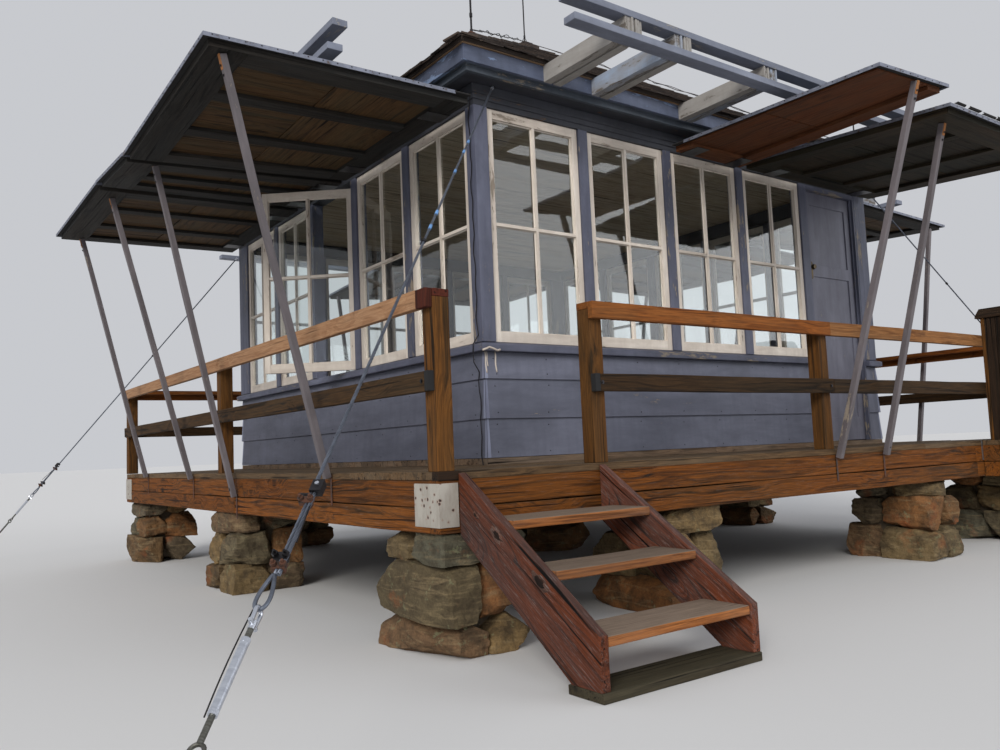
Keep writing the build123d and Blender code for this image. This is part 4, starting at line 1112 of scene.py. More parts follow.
for side in TURN:
    turn = side_matrix(side)
    normal = turn @ Vector((0, -1, 0))
    for course_low, course_high in zip(COURSE_LOWS, COURSE_LOWS[1:] + (SIDING_TOP,)):
        for height in (course_low + 0.03, course_high - 0.04):
            inset = LAP * (height - course_low) / (course_high - course_low)
            x = -HALF + FIRST_STUD
            while x < HALF - 0.05:
                if side != "front" or x < HALF - DOOR_ZONE:
                    nail_x = x + dice.uniform(-0.015, 0.015)
                    nail_z = height + dice.uniform(-0.006, 0.006)
                    place = turn @ Vector((nail_x, out(-inset - 0.0005), nail_z))
                    rod(nails, place, place + normal * 0.003, 0.0045, 7, tone=0.2, taper=0.6)
                x += STUD_STEP
        corner_cap(corner_caps, turn, -HALF - CAP_PROUD, -HALF + CAP_LEG, course_low, course_high)
        corner_cap(corner_caps, turn, HALF - CAP_LEG, HALF + CAP_PROUD, course_low, course_high)

# Each run is its place from the corner, its length and its width
RUNS = ((0.018, 0.13, 0.011), (0.03, 0.09, 0.008), (0.092, 0.125, 0.01))
RUN_STEPS = 8
TOP_COURSE = 0.164
DRIP_LINE = (-0.03, 0.0, 0.02, 0.05, 0.08, 0.1)
runs = Heap("paint_runs", white_paint, "white_trim", smooth=True)
for x, length, wide in RUNS:
    path = []
    for k in range(RUN_STEPS + 1):
        drop = k * length / RUN_STEPS
        y = out(0.001 - LAP * (1 - drop / TOP_COURSE))
        path.append(Vector((-HALF + x + 0.002 * math.sin(k), y, SIDING_TOP - drop)))
    tube(runs, path, wide / 2, 6)
path = [Vector((-HALF + x, out(0.034), SIDING_TOP + 0.012 + 0.01 * math.sin(x * 60))) for x in DRIP_LINE]
tube(runs, path, 0.007, 6)

# Eaves
EAVE_LOW, EAVE_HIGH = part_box("eaves")
CEILING = EAVE_LOW[2]
EAVE_OUT = -EAVE_LOW[1] - HALF
FASCIA_LOW = FLOOR + 2.337
FASCIA_HIGH = EAVE_HIGH[2]
TRIM_OUT = 0.145
TRIM_HIGH = FASCIA_LOW + 0.012
SOFFIT_IN = 0.11
THIN = 0.025
STRIP_OUT = 0.014
STRIP_HALF = 0.006
fascias = Heap("fascia_boards", fascia_paint, "fascia_paint", ["eaves"], bevel=0.002)
trims = Heap("eave_trim", lower_trim_paint, "fascia_paint", bevel=0.002)
soffits = Heap("soffit_boards", dark_trim, "grey_trim", bevel=0.001)
strips = Heap("shingle_strip", strip_wood, "fascia_paint", bevel=0.002)
for number, side in enumerate(TURN):
    ends = HALF + EAVE_OUT
    reach = HALF + TRIM_OUT
    short = 0.0 if number % 2 == 0 else THIN
    for heap, half_long, outward, heights, warp in (
        (fascias, ends - short, (EAVE_OUT, EAVE_OUT - THIN), (FASCIA_LOW, FASCIA_HIGH), 0.001),
        (trims, reach - short, (TRIM_OUT, TRIM_OUT - THIN), (CEILING, TRIM_HIGH), 0.001),
        (trims, ends - THIN, (EAVE_OUT - THIN, TRIM_OUT), (FASCIA_LOW + 0.001, TRIM_HIGH), 0.0005),
        (soffits, reach - THIN, (TRIM_OUT - THIN, -SOFFIT_IN), (CEILING + 0.001, CEILING + 0.015), 0.0005),
        (strips, ends + STRIP_OUT, (EAVE_OUT + STRIP_OUT, EAVE_OUT),
         (FASCIA_HIGH - STRIP_HALF, FASCIA_HIGH + STRIP_HALF), 0.001),
    ):
        side_beam(heap, side, (-half_long, half_long), outward, heights, warp, 0.5)

# Roof
ROOF_HALF = ROOF_HIGH[0]
BUTT = 0.022
PEAK_HALF = 0.060
PITCH = math.radians(32.6)
PITCH_COS = math.cos(PITCH)
PITCH_SIN = math.sin(PITCH)
EXPOSURE = 0.127
SHINGLE_LONG = 0.215
SHINGLE_GAP = 0.002
NARROWEST = 0.06
OVERHANG = 0.028
roof_base = ROOF_LOW[2] + BUTT
edge_z = roof_base - OVERHANG * math.tan(PITCH)
keep("roof", roof_boards)


def roof_edge(at):
    """Half the width of a roof slope, that far up it."""
    return max(PEAK_HALF, ROOF_HALF + OVERHANG - at * PITCH_COS)


def shingle(heap, turn, x0, x1, s0, lift):
    """One shake on the front slope, x0 to x1 across, its butt s0 up the slope, curled a little."""
    long = SHINGLE_LONG * dice.uniform(0.94, 1.03)
    thick = dice.uniform(0.005, 0.009)
    curl = dice.uniform(0.0, 0.006)
    cup = dice.uniform(-0.002, 0.004)
    skew = dice.uniform(-0.004, 0.004)
    points = []
    grain = []
    for layer in (0, 1):
        for share in (0, 0.5, 1):
            s = s0 + long * share + skew
            edge = roof_edge(s)
            rise = lift * (1 - share) + curl * (1 - share) ** 2 + layer * thick * (1 - 0.8 * share)
            for side in (-1, 0, 1):
                x = max(-edge, min(edge, (x0 + x1) / 2 + side * (x1 - x0) / 2))
                up = rise + cup * side * side * (1 - share)
                y = -ROOF_HALF - OVERHANG + s * PITCH_COS - up * PITCH_SIN
                points.append(turn @ Vector((x, y, edge_z + s * PITCH_SIN + up * PITCH_COS)))
                grain.append((s, x, up))
    faces = []
    for a in (0, 1, 3, 4):
        faces.append((a, a + 3, a + 4, a + 1))
        faces.append((a + 9, a + 10, a + 13, a + 12))
    ring = (0, 1, 2, 5, 8, 7, 6, 3)
    for a, b in zip(ring, ring[1:] + ring[:1]):
        faces.append((a, b, b + 9, a + 9))
    heap.add(points, faces, grain)


shakes = Heap("roof_shakes", shingle_wood, "shingle")
COURSES = int((ROOF_HALF + OVERHANG - PEAK_HALF) / PITCH_COS / EXPOSURE)
for side in TURN:
    turn = side_matrix(side)
    for course in range(-1, COURSES + 1):
        s = max(0, course) * EXPOSURE
        lift = 0.001 if course < 0 else 0.008
        edge = roof_edge(s)
        x = -edge
        while x < edge:
            wide = dice.uniform(0.09, 0.2)
            if edge - x - wide < NARROWEST:
                wide = edge - x
            butt = s + dice.uniform(-0.006, 0.006)
            shingle(shakes, turn, x + SHINGLE_GAP, x + wide - SHINGLE_GAP, butt, lift)
            x += wide

HIP_CAP_WIDE = 0.105
HIP_CAP_LONG = 0.2
HIP_CAP_STEP = 0.135
HIP_CAP_THICK = 0.011
QUARTERS = [Matrix.Rotation(math.pi / 2 * quarter, 4, "Z") for quarter in range(4)]
peak = Vector((0, 0, roof_base + (ROOF_HALF - PEAK_HALF) * math.tan(PITCH)))
hip_foot = Vector((-ROOF_HALF - OVERHANG, -ROOF_HALF - OVERHANG, edge_z))
hip = Vector((-PEAK_HALF, -PEAK_HALF, peak.z)) - hip_foot
hip_run = hip.normalized()
X_WAY = Vector((1, 0, 0))
Y_WAY = Vector((0, 1, 0))
caps = Heap("hip_caps", shingle_wood, "shingle", bevel=0.002)
for turn in QUARTERS:
    for level, inward in ((X_WAY, Y_WAY), (Y_WAY, X_WAY)):
        normal = level.cross(inward * PITCH_COS + Vector((0, 0, PITCH_SIN))).normalized()
        if normal.z < 0:
            normal.negate()
        across = (level - hip_run * level.dot(hip_run)).normalized()
        foot = hip_foot + across * HIP_CAP_WIDE / 2
        s = 0.0
        while s < hip.length - 0.1:
            a = foot + hip_run * s + normal * (0.020 + dice.uniform(0, 0.006))
            b = foot + hip_run * min(s + HIP_CAP_LONG, hip.length) + normal * 0.015
            bar(caps, turn @ a, turn @ b, HIP_CAP_WIDE, HIP_CAP_THICK, turn @ across, 0.003, 0.1)
            s += HIP_CAP_STEP
bar(caps, peak - Vector((0, 0, 0.02)), peak + Vector((0, 0, 0.035)), 0.2, 0.2, (1, 0, 0))

# Lightning rods, their feet and the conductors along the hips
ROD_BOXES = solids("lightning_rods")
ROD_RADIUS = 0.0065
TIP_LONG = 0.09
TRIPOD = 0.075
rods = Heap("lightning_rod_set", dark_iron, "dark_iron", ["lightning_rods"])
feet = Heap("rod_foot_blocks", rusty_iron, "dark_iron", bevel=0.003)
for low, high in ROD_BOXES:
    middle = Vector(((low[0] + high[0]) / 2, (low[1] + high[1]) / 2, 0))
    foot = middle + Vector((0, 0, low[2] + 0.03))
    top = middle + Vector((0, 0, high[2]))
    neck = top - Vector((0, 0, TIP_LONG))
    rod(rods, foot, neck, ROD_RADIUS, tone=0.4)
    rod(rods, neck, top, ROD_RADIUS, tone=0.4, taper=0.12)
    if abs(middle.x) < 0.2:
        for leg in circle(foot, X_WAY, Y_WAY, TRIPOD, 3):
            rod(rods, leg, foot + Vector((0, 0, 0.11)), 0.0028, 6)
        rod(rods, foot + Vector((0, 0, 0.10)), foot + Vector((0, 0, 0.125)), 0.010, 10)
    else:
        size = Vector((0.022, 0.015, 0.012))
        spot = foot - Vector((0, 0, 0.010))
        beam(feet, spot - size, spot + size, 0.002, 0.02)
        rod(rods, spot, foot + Vector((0, 0, 0.020)), 0.010, 10)
        rod(rods, foot + Vector((0, 0, 0.1)), foot + Vector((0, 0, 0.126)), 0.010, 8)

# Each conductor is the number of its wander, how far it swings and its radius
CONDUCTORS = ((0.0, 0.016, 0.004), (9.0, 0.030, 0.003))
CONDUCTOR_STEPS = 60
CORNER_ROD = max((low[0] + high[0]) / 2 for low, high in ROD_BOXES)
wire_foot = Vector((-CORNER_ROD, -CORNER_ROD, roof_base + (ROOF_HALF - CORNER_ROD) * math.tan(PITCH)))
wire_top = Vector((-0.1, -0.1, peak.z - 0.02))
conductors = Heap("lightning_conductors", dark_iron, "dark_iron")
for quarter, turn in enumerate(QUARTERS):
    for wander, swing, radius in CONDUCTORS:
        path = []
        for step in range(CONDUCTOR_STEPS + 1):
            share = step / CONDUCTOR_STEPS
            ease = min(1.0, 8 * share, 8 * (1 - share))
            drift = noise.noise_vector(Vector((share * 14, wander, quarter * 5.0))) * swing * ease
            lifted = Vector((drift.x, drift.y, 0.050 + abs(drift.z)))
            path.append(turn @ (wire_foot.lerp(wire_top, share) + lifted))
        tube(conductors, path, radius, 6, 0.5)

# Shutters, drawn flat with the hinge edge on the X axis and then hung.
# Each is its two ends along the wall, its tilt, how far its outer corners are warped, and its make.
SHUTTER_OUT = 0.060
SHUTTER_TOP = FLOOR + 2.200
REACH = 1.560
SKIN = 0.008
SHEET = 0.022
FRAME = 0.026
EDGE = 0.150
OUTER_EDGE = 0.200
BATTEN = 0.105
LIP = 0.040
SEAM_AT = 0.50
SEAM_GAP = 0.0045
METAL_END = -0.110
METAL_WIDE = 0.030
METAL_LOW = 0.012
GROOVE_STEP = 0.100
# Thickness of the dark strips that paint shade on the shutters' edges
SHADE_STRIP = 0.004
NAIL_STEP = 0.085
SHUTTERS = {
    "front": (
        (-HALF + 1.700, -HALF + 2.500, 0.9, (0.0, 0.045), "ply"),
        (-HALF + 2.505, HALF + 0.020, 3.4, (0.0, 0.0), "felt"),
    ),
    "left": (
        (-HALF - 0.060, HALF - 2.565, 1.6, (0.008, 0.0), "board"),
        (HALF - 2.560, HALF - 1.705, 1.4, (0.0, -0.05), "board"),
        (HALF - 1.700, HALF + 0.060, 2.1, (-0.038, 0.037), "board"),
    ),
}
SHUTTERS["back"] = SHUTTERS["left"][:2]
SHUTTERS["right"] = (
    (-HALF + 0.105, HALF - 2.565, 1.6, (0.0, 0.09), "board"),
    SHUTTERS["left"][1],
    (HALF - 1.700, HALF + 0.040, 2.1, (-0.02, 0.02), "board"),
)
undersides = {}
frames_of = {}
for heaps_of, kind, name, finish, nodes, bevel in (
    (undersides, "board", "shutter_boards", shutter_wood, ["left_shutters", "right_shutters"], 0.002),
    (undersides, "ply", "shutter_ply_sheet", shutter_ply, ["front_shutters"], 0.002),
    (undersides, "felt", "shutter_dark_boards", shutter_felt_board, [], 0.002),
    (frames_of, "board", "shutter_frames", shutter_frame_wood, ["back_shutters"], 0.003),
    (frames_of, "ply", "shutter_ply_frame", shutter_ply, [], 0.003),
    (frames_of, "felt", "shutter_dark_frame", shutter_felt_board, [], 0.003),
):
    heaps_of[kind] = Heap(name, finish, "shutter_board", nodes, bevel=bevel)
tops = Heap("shutter_felt_tops", roof_felt, "shutter_board", bevel=0.001)
flashings = Heap("shutter_edge_metal", dull_edge, "zinc_steel")
hinges = Heap("shutter_hinges_and_nails", dark_iron, "dark_iron")


def sagged(along, reach, start, end, warp):
    """How far a point of a shutter stands above the flat panel."""
    share = (along - start) / (end - start)
    return (warp[0] + (warp[1] - warp[0]) * share) * reach / REACH


def panel_sheets(panels, kind, left, right):
    """The outer sheet, of grooved boards where the make says so, and the plain sheet by the hinges."""
    seam = -REACH * SEAM_AT
    high = -SKIN - 0.001
    if kind == "board":
        grooves = max(2, round((right - left) / GROOVE_STEP))
        pitch = (right - left) / grooves
        for number in range(grooves):
            x0 = left + number * pitch + 0.001
            x1 = left + (number + 1) * pitch - 0.001
            beam(panels, (x0, -REACH, -SHEET), (x1, seam - SEAM_GAP, high), 0.0004, 0.4, 0.35)
    else:
        beam(panels, (left, -REACH, -SHEET), (right, seam - SEAM_GAP, high), 0.0006, 0.4)
    beam(panels, (left, seam + SEAM_GAP, -SHEET), (right, -0.001, high), 0.0006, 0.4, 0.7)


def panel_frame(frames, kind, left, right):
    """Thin dark strips of painted shade on the outer and side edges, frame boards and battens under the
    sheets.
    """
    low = -SHEET - FRAME
    high = -SHEET - 0.0005
    under_skin = -SKIN - 0.001
    # Dark strips over the outer and side edges: painted shade on the shutter's edges.
    if kind != "ply":
        beam(frames, (left, -REACH - SHADE_STRIP, low), (right, -REACH, under_skin), 0.0003, 0.4)
        for x in (left - SHADE_STRIP, right):
            beam(frames, (x, -REACH, low), (x + SHADE_STRIP, 0, under_skin), 0.0003, 0.4)
    beam(frames, (left, -EDGE, low), (right, 0, high))
    if kind == "ply":
        beam(frames, (right - EDGE, -REACH, low), (right, -EDGE, high))
        return
    outer = -REACH + OUTER_EDGE
    beam(frames, (left, -REACH, low), (right, outer, high))
    beam(frames, (left, outer, low), (left + EDGE, -EDGE, high))
    beam(frames, (right - EDGE, outer, low), (right, -EDGE, high))
    battens = 2 if right - left > 1.0 else 1
    for number in range(battens):
        x = left + (right - left) * (number + 1) / (battens + 1)
        beam(frames, (x - BATTEN / 2, outer, low + 0.001), (x + BATTEN / 2, -EDGE, high))


def nail(top, side, away):
    """A roofing nail through the metal's top and one through its edge, which looks along away."""
    rod(hinges, top, (top[0], top[1], top[2] + 0.004), 0.006, 7, taper=0.6)
    rod(hinges, side, Vector(side) + Vector(away), 0.0045, 7, taper=0.7)


def panel_top(start, end):
    """The felt skin, the metal round its edges and the nails in it."""
    tip = -REACH - LIP
    low = -SKIN - METAL_LOW
    metal_low = 0.0004
    metal_high = 0.0022
    beam(tops, (start, tip, -SKIN), (end, 0, 0), 0.002, 0.2)
    for x, inward in ((start, 1), (end, -1)):
        near, far = sorted((x, x + METAL_WIDE * inward))
        beam(flashings, (near, tip, metal_low), (far, METAL_END, metal_high), 0.0004)
        beam(flashings, (x - 0.0012, tip, low), (x + 0.0012, METAL_END, 0.001), 0.0003)
        y = -0.06
        while y > tip + 0.03:
            nail((x + 0.0105 * inward, y, metal_high), (x, y - 0.05, -0.006), (-0.0036 * inward, 0, 0))
            y -= NAIL_STEP
    beam(flashings, (start, tip - 0.0012, low), (end, tip + 0.0012, 0.001), 0.0003)
    beam(flashings, (start + METAL_WIDE, tip, metal_low),
         (end - METAL_WIDE, tip + METAL_WIDE, metal_high), 0.0004)
    x = start + 0.08
    while x < end - 0.05:
        nail((x, tip + 0.012, metal_high), (x, tip, -0.012), (0, -0.004, 0))
        x += NAIL_STEP


def panel_hinges(left, right):
    low = -SHEET - FRAME
    for share in (0.16, 0.84):
        x = left + (right - left) * share
        for offset in (-0.045, 0.0, 0.045):
            rod(hinges, (x + offset - 0.02, 0.006, -0.03), (x + offset + 0.02, 0.006, -0.03), 0.008, 8)
        beam(hinges, (x - 0.065, -0.16, low - 0.004), (x + 0.065, 0.004, low - 0.0005), 0.0002)


def hanging(side, tilt):
    """Takes a panel that was drawn flat to its place on a wall."""
    hung = side_matrix(side) @ Matrix.Translation((0, out(SHUTTER_OUT), SHUTTER_TOP))
    return hung @ Matrix.Rotation(math.radians(tilt), 4, "X")


for side, panels in SHUTTERS.items():
    for start, end, tilt, warp, kind in panels:
        drawn = (undersides[kind], frames_of[kind], tops, flashings, hinges)
        first = [len(heap.points) for heap in drawn]
        left = start + LIP
        right = end - LIP
        panel_sheets(undersides[kind], kind, left, right)
        panel_frame(frames_of[kind], kind, left, right)
        panel_top(start, end)
        panel_hinges(left, right)
        hung = hanging(side, tilt)
        for heap, begin in zip(drawn, first):
            for number in range(begin, len(heap.points)):
                p = Vector(heap.points[number])
                p.z += sagged(p.x, -p.y, start, end, warp)
                heap.points[number] = hung @ p

# Torn felt that curls over the outer edge of the dark shutter
CURLS = 9
CURL_STEPS = 6
CURL_STEP = 0.19
CURL_RADIUS = 0.022
CURL_THICK = 0.003
CURL_SKEW = 0.012
start, end, tilt, _, _ = SHUTTERS["front"][1]
hung = hanging("front", tilt)
for number in range(CURLS):
    begin = start + 0.02 + number * CURL_STEP + dice.uniform(0, 0.03)
    stop = min(end - 0.01, begin + dice.uniform(0.1, 0.2))
    curl = dice.uniform(1.2, 3.0)
    radius = CURL_RADIUS * dice.uniform(0.6, 1.2)
    grains = []
    for step in range(CURL_STEPS + 1):
        turn = curl * step / CURL_STEPS
        y = -REACH - LIP - radius * math.sin(turn)
        z = 0.004 + radius * (1 - math.cos(turn)) * 0.5
        skew = CURL_SKEW * step / CURL_STEPS * (-1 if number % 2 else 1)
        x0 = begin + skew
        x1 = stop - skew
        grains.append([(x0, y, z), (x1, y, z), (x1, y, z + CURL_THICK), (x0, y, z + CURL_THICK)])
    loft(tops, [[hung @ Vector(p) for p in ring] for ring in grains], grains)

# Struts: place along the wall, how far the top leans along it, the panel over it, the foot's height
# and how far out the top is
STRUT = 0.037
STRAP = 0.009
STRAP_UP = 0.02
STRAP_DOWN = 0.15
FOOT_BOLT = 0.055
HEAD_PLATE = 0.082
HEAD_PLATE_WIDE = 0.027
HEAD_PLATE_THICK = 0.003
HEAD_NAILS = (0.06, 0.11)
STRUTS = {
    "front": (
        (-HALF + 2.145, 0, 0, FLOOR - 0.100, 1.632),
        (-HALF + 2.708, 0, 1, FLOOR - 0.100, 1.499),
    ),
    "left": (
        (HALF - 0.216, 0.190, 2, FLOOR - 0.069, 1.538),
        (HALF - 1.768, 0, 1, FLOOR - 0.203, 1.431),
        (HALF - 2.780, 0, 0, FLOOR - 0.082, 1.502),
        (HALF - 4.194, 0, 0, FLOOR - 0.068, 1.467),
    ),
}
STRUTS["back"] = STRUTS["left"][1:]
STRUTS["right"] = STRUTS["left"][:3] + ((HALF - 4.099, 0, 0, FLOOR - 0.068, 1.467),)
foot_out = WALK + STRUT / 2 + 0.006
struts = Heap("strut_bars", strut_paint, "strut_paint", ["shutter_struts"], bevel=0.003)
straps = Heap("iron_straps", rusty_iron, "dark_iron", bevel=0.0008)
head_plates = Heap("strut_head_plates", head_rust, "dark_iron", bevel=0.0008)
for side, props in STRUTS.items():
    turn = side_matrix(side)
    level = turn @ X_WAY
    outward = turn @ -Y_WAY
    for along, lean, number, foot_z, top_out in props:
        start, end, tilt, warp, kind = SHUTTERS[side][number]
        reach = top_out - SHUTTER_OUT
        under = SHUTTER_TOP - reach * math.tan(math.radians(tilt))
        under += sagged(along + lean, reach, start, end, warp)
        top_z = under - SHEET - (FRAME if kind != "ply" else 0.0) - 0.006
        foot = turn @ Vector((along, out(foot_out), foot_z))
        top = turn @ Vector((along + lean, out(top_out), top_z))
        bar(struts, foot, top, STRUT, STRUT, level, 0.005)
        nut(bolts, turn @ Vector((along, out(foot_out + STRUT / 2 + 0.004), foot_z + FOOT_BOLT)), outward)
        rise = (top - foot).normalized()
        face = top + outward * (STRUT / 2 + HEAD_PLATE_THICK / 2)
        bar(head_plates, face - rise * 0.002, face - rise * HEAD_PLATE, HEAD_PLATE_WIDE, HEAD_PLATE_THICK,
            level, 0.0003)
        for drop in HEAD_NAILS:
            spot = top.lerp(foot, drop / (top - foot).length)
            nut(bolts, spot + outward * (STRUT / 2 + 0.002), outward, 0.005, 0.004)
        side_beam(straps, side, (along - STRAP, along + STRAP), (WALK + 0.004, WALK),
                  (foot_z - STRAP_DOWN, foot_z + STRAP_UP), 0.0003)

# Rack over the eaves: pairs of outriggers with split ends, and two rails on each side
SPLIT_LONG = 0.13
SPLIT_GAP = 0.0012
OUTRIGGER = 0.060
OUTRIGGER_GAP = 0.016
OUTRIGGER_LOW = FLOOR + 2.330
OUTRIGGER_HIGH = FLOOR + 2.438
OUTRIGGER_TIP = 0.930
OUTRIGGER_AT = (0.480, 0.884, 1.710)
RACK_RAIL = 0.092
RACK_RAIL_THICK = 0.040
LOWER_OUT = 0.872
UPPER_OUT = 0.838
# Rails that stop short of the wall's two ends
RAIL_SHORT = {"right": (0.160, 0.0), "back": (0.0, 0.110)}
racks = Heap("rack_rails", rack_rail_paint, "rack_paint", bevel=0.003)
outriggers = Heap("rack_outriggers", outrigger_paint, "rack_paint", ["rack_front_back", "rack_sides"],
                  bevel=0.002)


def outrigger(side, x0, x1):
    """One outrigger, whose outer end is split in three along the grain."""
    tip = OUTRIGGER_TIP + dice.uniform(-0.006, 0.006)
    tone = dice.random()
    root = tip - SPLIT_LONG
    heights = (OUTRIGGER_LOW, OUTRIGGER_HIGH)
    side_beam(outriggers, side, (x0, x1), (root, EAVE_OUT), heights, 0.0015, 0.15, tone)
    cuts = [x0] + sorted(x0 + OUTRIGGER * dice.uniform(k - 0.12, k + 0.12) for k in (0.33, 0.66)) + [x1]
    for a, b in zip(cuts, cuts[1:]):
        end = tip - dice.uniform(0, 0.012)
        low = OUTRIGGER_LOW + dice.uniform(0, 0.003)
        high = OUTRIGGER_HIGH - dice.uniform(0, 0.003)
        across = (a + SPLIT_GAP, b - SPLIT_GAP)
        side_beam(outriggers, side, across, (end, root), (low, high), 0.0015, 0.04, tone)


for side in TURN:
    for centre in [-HALF + at for at in OUTRIGGER_AT] + [HALF - at for at in OUTRIGGER_AT]:
        for sign in (-1, 1):
            near = centre + sign * OUTRIGGER_GAP / 2
            outrigger(side, *sorted((near, near + sign * OUTRIGGER)))
    begin_short, end_short = RAIL_SHORT.get(side, (0.0, 0.0))
    side_beam(racks, side, (-HALF + begin_short, HALF - end_short), (LOWER_OUT + RACK_RAIL, LOWER_OUT),
              (OUTRIGGER_LOW - RACK_RAIL_THICK, OUTRIGGER_LOW))
    side_beam(racks, side, (-HALF, HALF), (UPPER_OUT + RACK_RAIL, UPPER_OUT),
              (OUTRIGGER_HIGH, OUTRIGGER_HIGH + RACK_RAIL_THICK))

# Guys, each in one line: twisted cable, clips, thimble loop, shackle, turnbuckle and ground rod.
# Each is its top and its anchor, measured out from a corner of the walls. Distances along it are
# measured up from the ground end.
GUYS = {
    (-1, -1): ((-0.119, 0.045, FLOOR + 2.287), (2.761, 2.761, 0)),
    (1, -1): ((0.026, 0.026, FLOOR + 2.240), (2.139, 1.289, 0)),
    (-1, 1): ((0.014, 0.014, FLOOR + 2.098), (2.108, 2.108, 0)),
    (1, 1): ((0.014, 0.014, FLOOR + 2.098), (2.108, 2.108, 0)),
}
UPPER_CLAMP = 1.345
LOWER_CLIP = 1.085
LOOP_TOP = LOWER_CLIP - 0.03
LOOP_END = 0.950
LOOP_HALF_WIDE = 0.023
TUBE_TOP = 0.868
TUBE_BOTTOM = 0.678
TUBE_CAP = 0.012
EYE_AT = 0.600
EYE_STEP = 0.026
STRANDS = 6
STRAND_R = 0.0021
LAY_R = 0.0040
CABLE_R = LAY_R + STRAND_R
LAY = 0.11
TAIL_ASIDE = 0.0095
CLAMP_ASIDE = 0.012
# Blue tape round the near cable, and the splice where it gets thicker
TAPED = (-1, -1)
TAPES = (3.010, 3.160, 3.650, 3.922, 4.070)
SPLICE = 2.880
tapes = Heap("cable_tape", tape_blue, "zinc_steel")
cables = Heap("guy_cable_strands", cable_steel, "zinc_steel", ["guy_cables"], smooth=True)
clips = Heap("rusty_clips", rusty_iron, "dark_iron")
dark_clips = Heap("dark_clamps", dark_iron, "dark_iron")
fittings = Heap("turnbuckle_set", bright_steel, "zinc_steel", ["guy_turnbuckles"])
anchors = Heap("guy_anchor_rods", worn_steel, "dark_iron", ["guy_anchors"])


def twisted(heap, start, end):
    """A cable of twisted strands."""
    length = (end - start).length
    u, v = crosswise((end - start).normalized())
    count = max(4, int(length / LAY * 6))
    for strand in range(STRANDS):
        path = []
        for step in range(count + 1):
            share = step / count
            turn = 2 * math.pi * (strand / STRANDS + share * length / LAY)
            path.append(start.lerp(end, share) + (u * math.cos(turn) + v * math.sin(turn)) * LAY_R)
        tube(heap, path, STRAND_R, 5, 0.5)


def clip(heap, spot, run, aside, size=0.85):
    """A cable clip: a saddle, a U bolt round both cables and two nuts."""
    down = run.cross(aside)
    leg = aside * 0.016 * size
    bar(heap, spot - run * 0.011, spot + run * 0.011, 0.042 * size, 0.014, aside, 0.001, 0.02)
    bend = [spot + leg - down * 0.024]
    for step in range(13):
        turn = math.pi * step / 12
        bend.append(spot + leg * math.cos(turn) + down * (0.008 + 0.018 * math.sin(turn)) * size)
    bend.append(spot - leg - down * 0.024)
    tube(heap, bend, 0.004, 7, 0.5)
    for foot in (spot - leg, spot + leg):
        rod(heap, foot - down * 0.016, foot - down * 0.008, 0.0085, 6)


def clamp(at, run, aside, down):
    """The clamp near the deck: a dark block with a bright bolt, a rusty clip below it and the sprung tail."""
    shift = aside * -CLAMP_ASIDE
    block_top = at(UPPER_CLAMP + 0.037) + shift
    block_foot = at(UPPER_CLAMP - 0.005) + shift
    bar(dark_clips, block_top, block_foot, 0.032, 0.024, aside, 0.001, 0.02)
    spot = at(UPPER_CLAMP + 0.020) + shift
    rod(fittings, spot + down * 0.010, spot + down * 0.017, 0.0065, 6)
    rod(fittings, spot - down * 0.017, spot - down * 0.010, 0.0065, 6)
    spot = at(UPPER_CLAMP - 0.008)
    rod(dark_clips, spot + aside * 0.034, spot + shift, 0.0045)
    clip(clips, at(UPPER_CLAMP - 0.034) + aside * 0.004, run, aside)
    clip(dark_clips, at(LOWER_CLIP + 0.028) + aside * 0.004, run, aside)
    clip(clips, at(LOWER_CLIP - 0.004) - aside * 0.002, run, aside, 0.8)


def loop(at, run, aside, down):
    """The cable's end loop and the bright shackle through it, with its pin on the threaded rod."""
    path = []
    for step in range(31):
        turn = math.pi * 2 * step / 30
        reach = (1 - math.cos(turn)) / 2
        sideways = math.sin(turn) * LOOP_HALF_WIDE * (0.3 + 0.7 * reach) + 0.003
        path.append(at(LOOP_TOP) + run * reach * (LOOP_TOP - LOOP_END) + aside * sideways)
    tube(cables, path, 0.0054, 8, 0.5)
    leg_end = at(TUBE_TOP + 0.034)
    bow = [leg_end + down * 0.011]
    for step in range(15):
        turn = math.pi * step / 14
        bow.append(at(LOOP_END + 0.004 - 0.012 * (1 - math.sin(turn))) + down * 0.014 * math.cos(turn))
    bow.append(leg_end - down * 0.011)
    tube(fittings, bow, 0.0052, 8, 0.5)
    pin = at(TUBE_TOP + 0.040)
    rod(fittings, pin + down * 0.020, pin - down * 0.020, 0.0055)
    rod(fittings, at(TUBE_TOP + 0.048), at(TUBE_TOP + 0.026), 0.0085, 10)


def turnbuckle(at, run, aside, down):
    """The tube with its end caps between two threaded rods, and the two eyes below it."""
    rod(anchors, at(TUBE_TOP + 0.030), at(TUBE_TOP - 0.01), 0.0070, 12, steps=6)
    rod(fittings, at(TUBE_TOP), at(TUBE_TOP - TUBE_CAP), 0.0115)
    rod(fittings, at(TUBE_TOP - TUBE_CAP), at(TUBE_BOTTOM + TUBE_CAP), 0.0108, 16, steps=2)
    rod(fittings, at(TUBE_BOTTOM + TUBE_CAP), at(TUBE_BOTTOM), 0.0115)
    rod(anchors, at(TUBE_BOTTOM + 0.01), at(EYE_AT + 0.015), 0.0070, 12, steps=6)
    tube(anchors, circle(at(EYE_AT), run, aside, 0.016, 18, 19), 0.0050, 8, 0.5)
    tube(anchors, circle(at(EYE_AT - EYE_STEP), run, down, 0.0155, 18, 19), 0.0050, 8, 0.5)


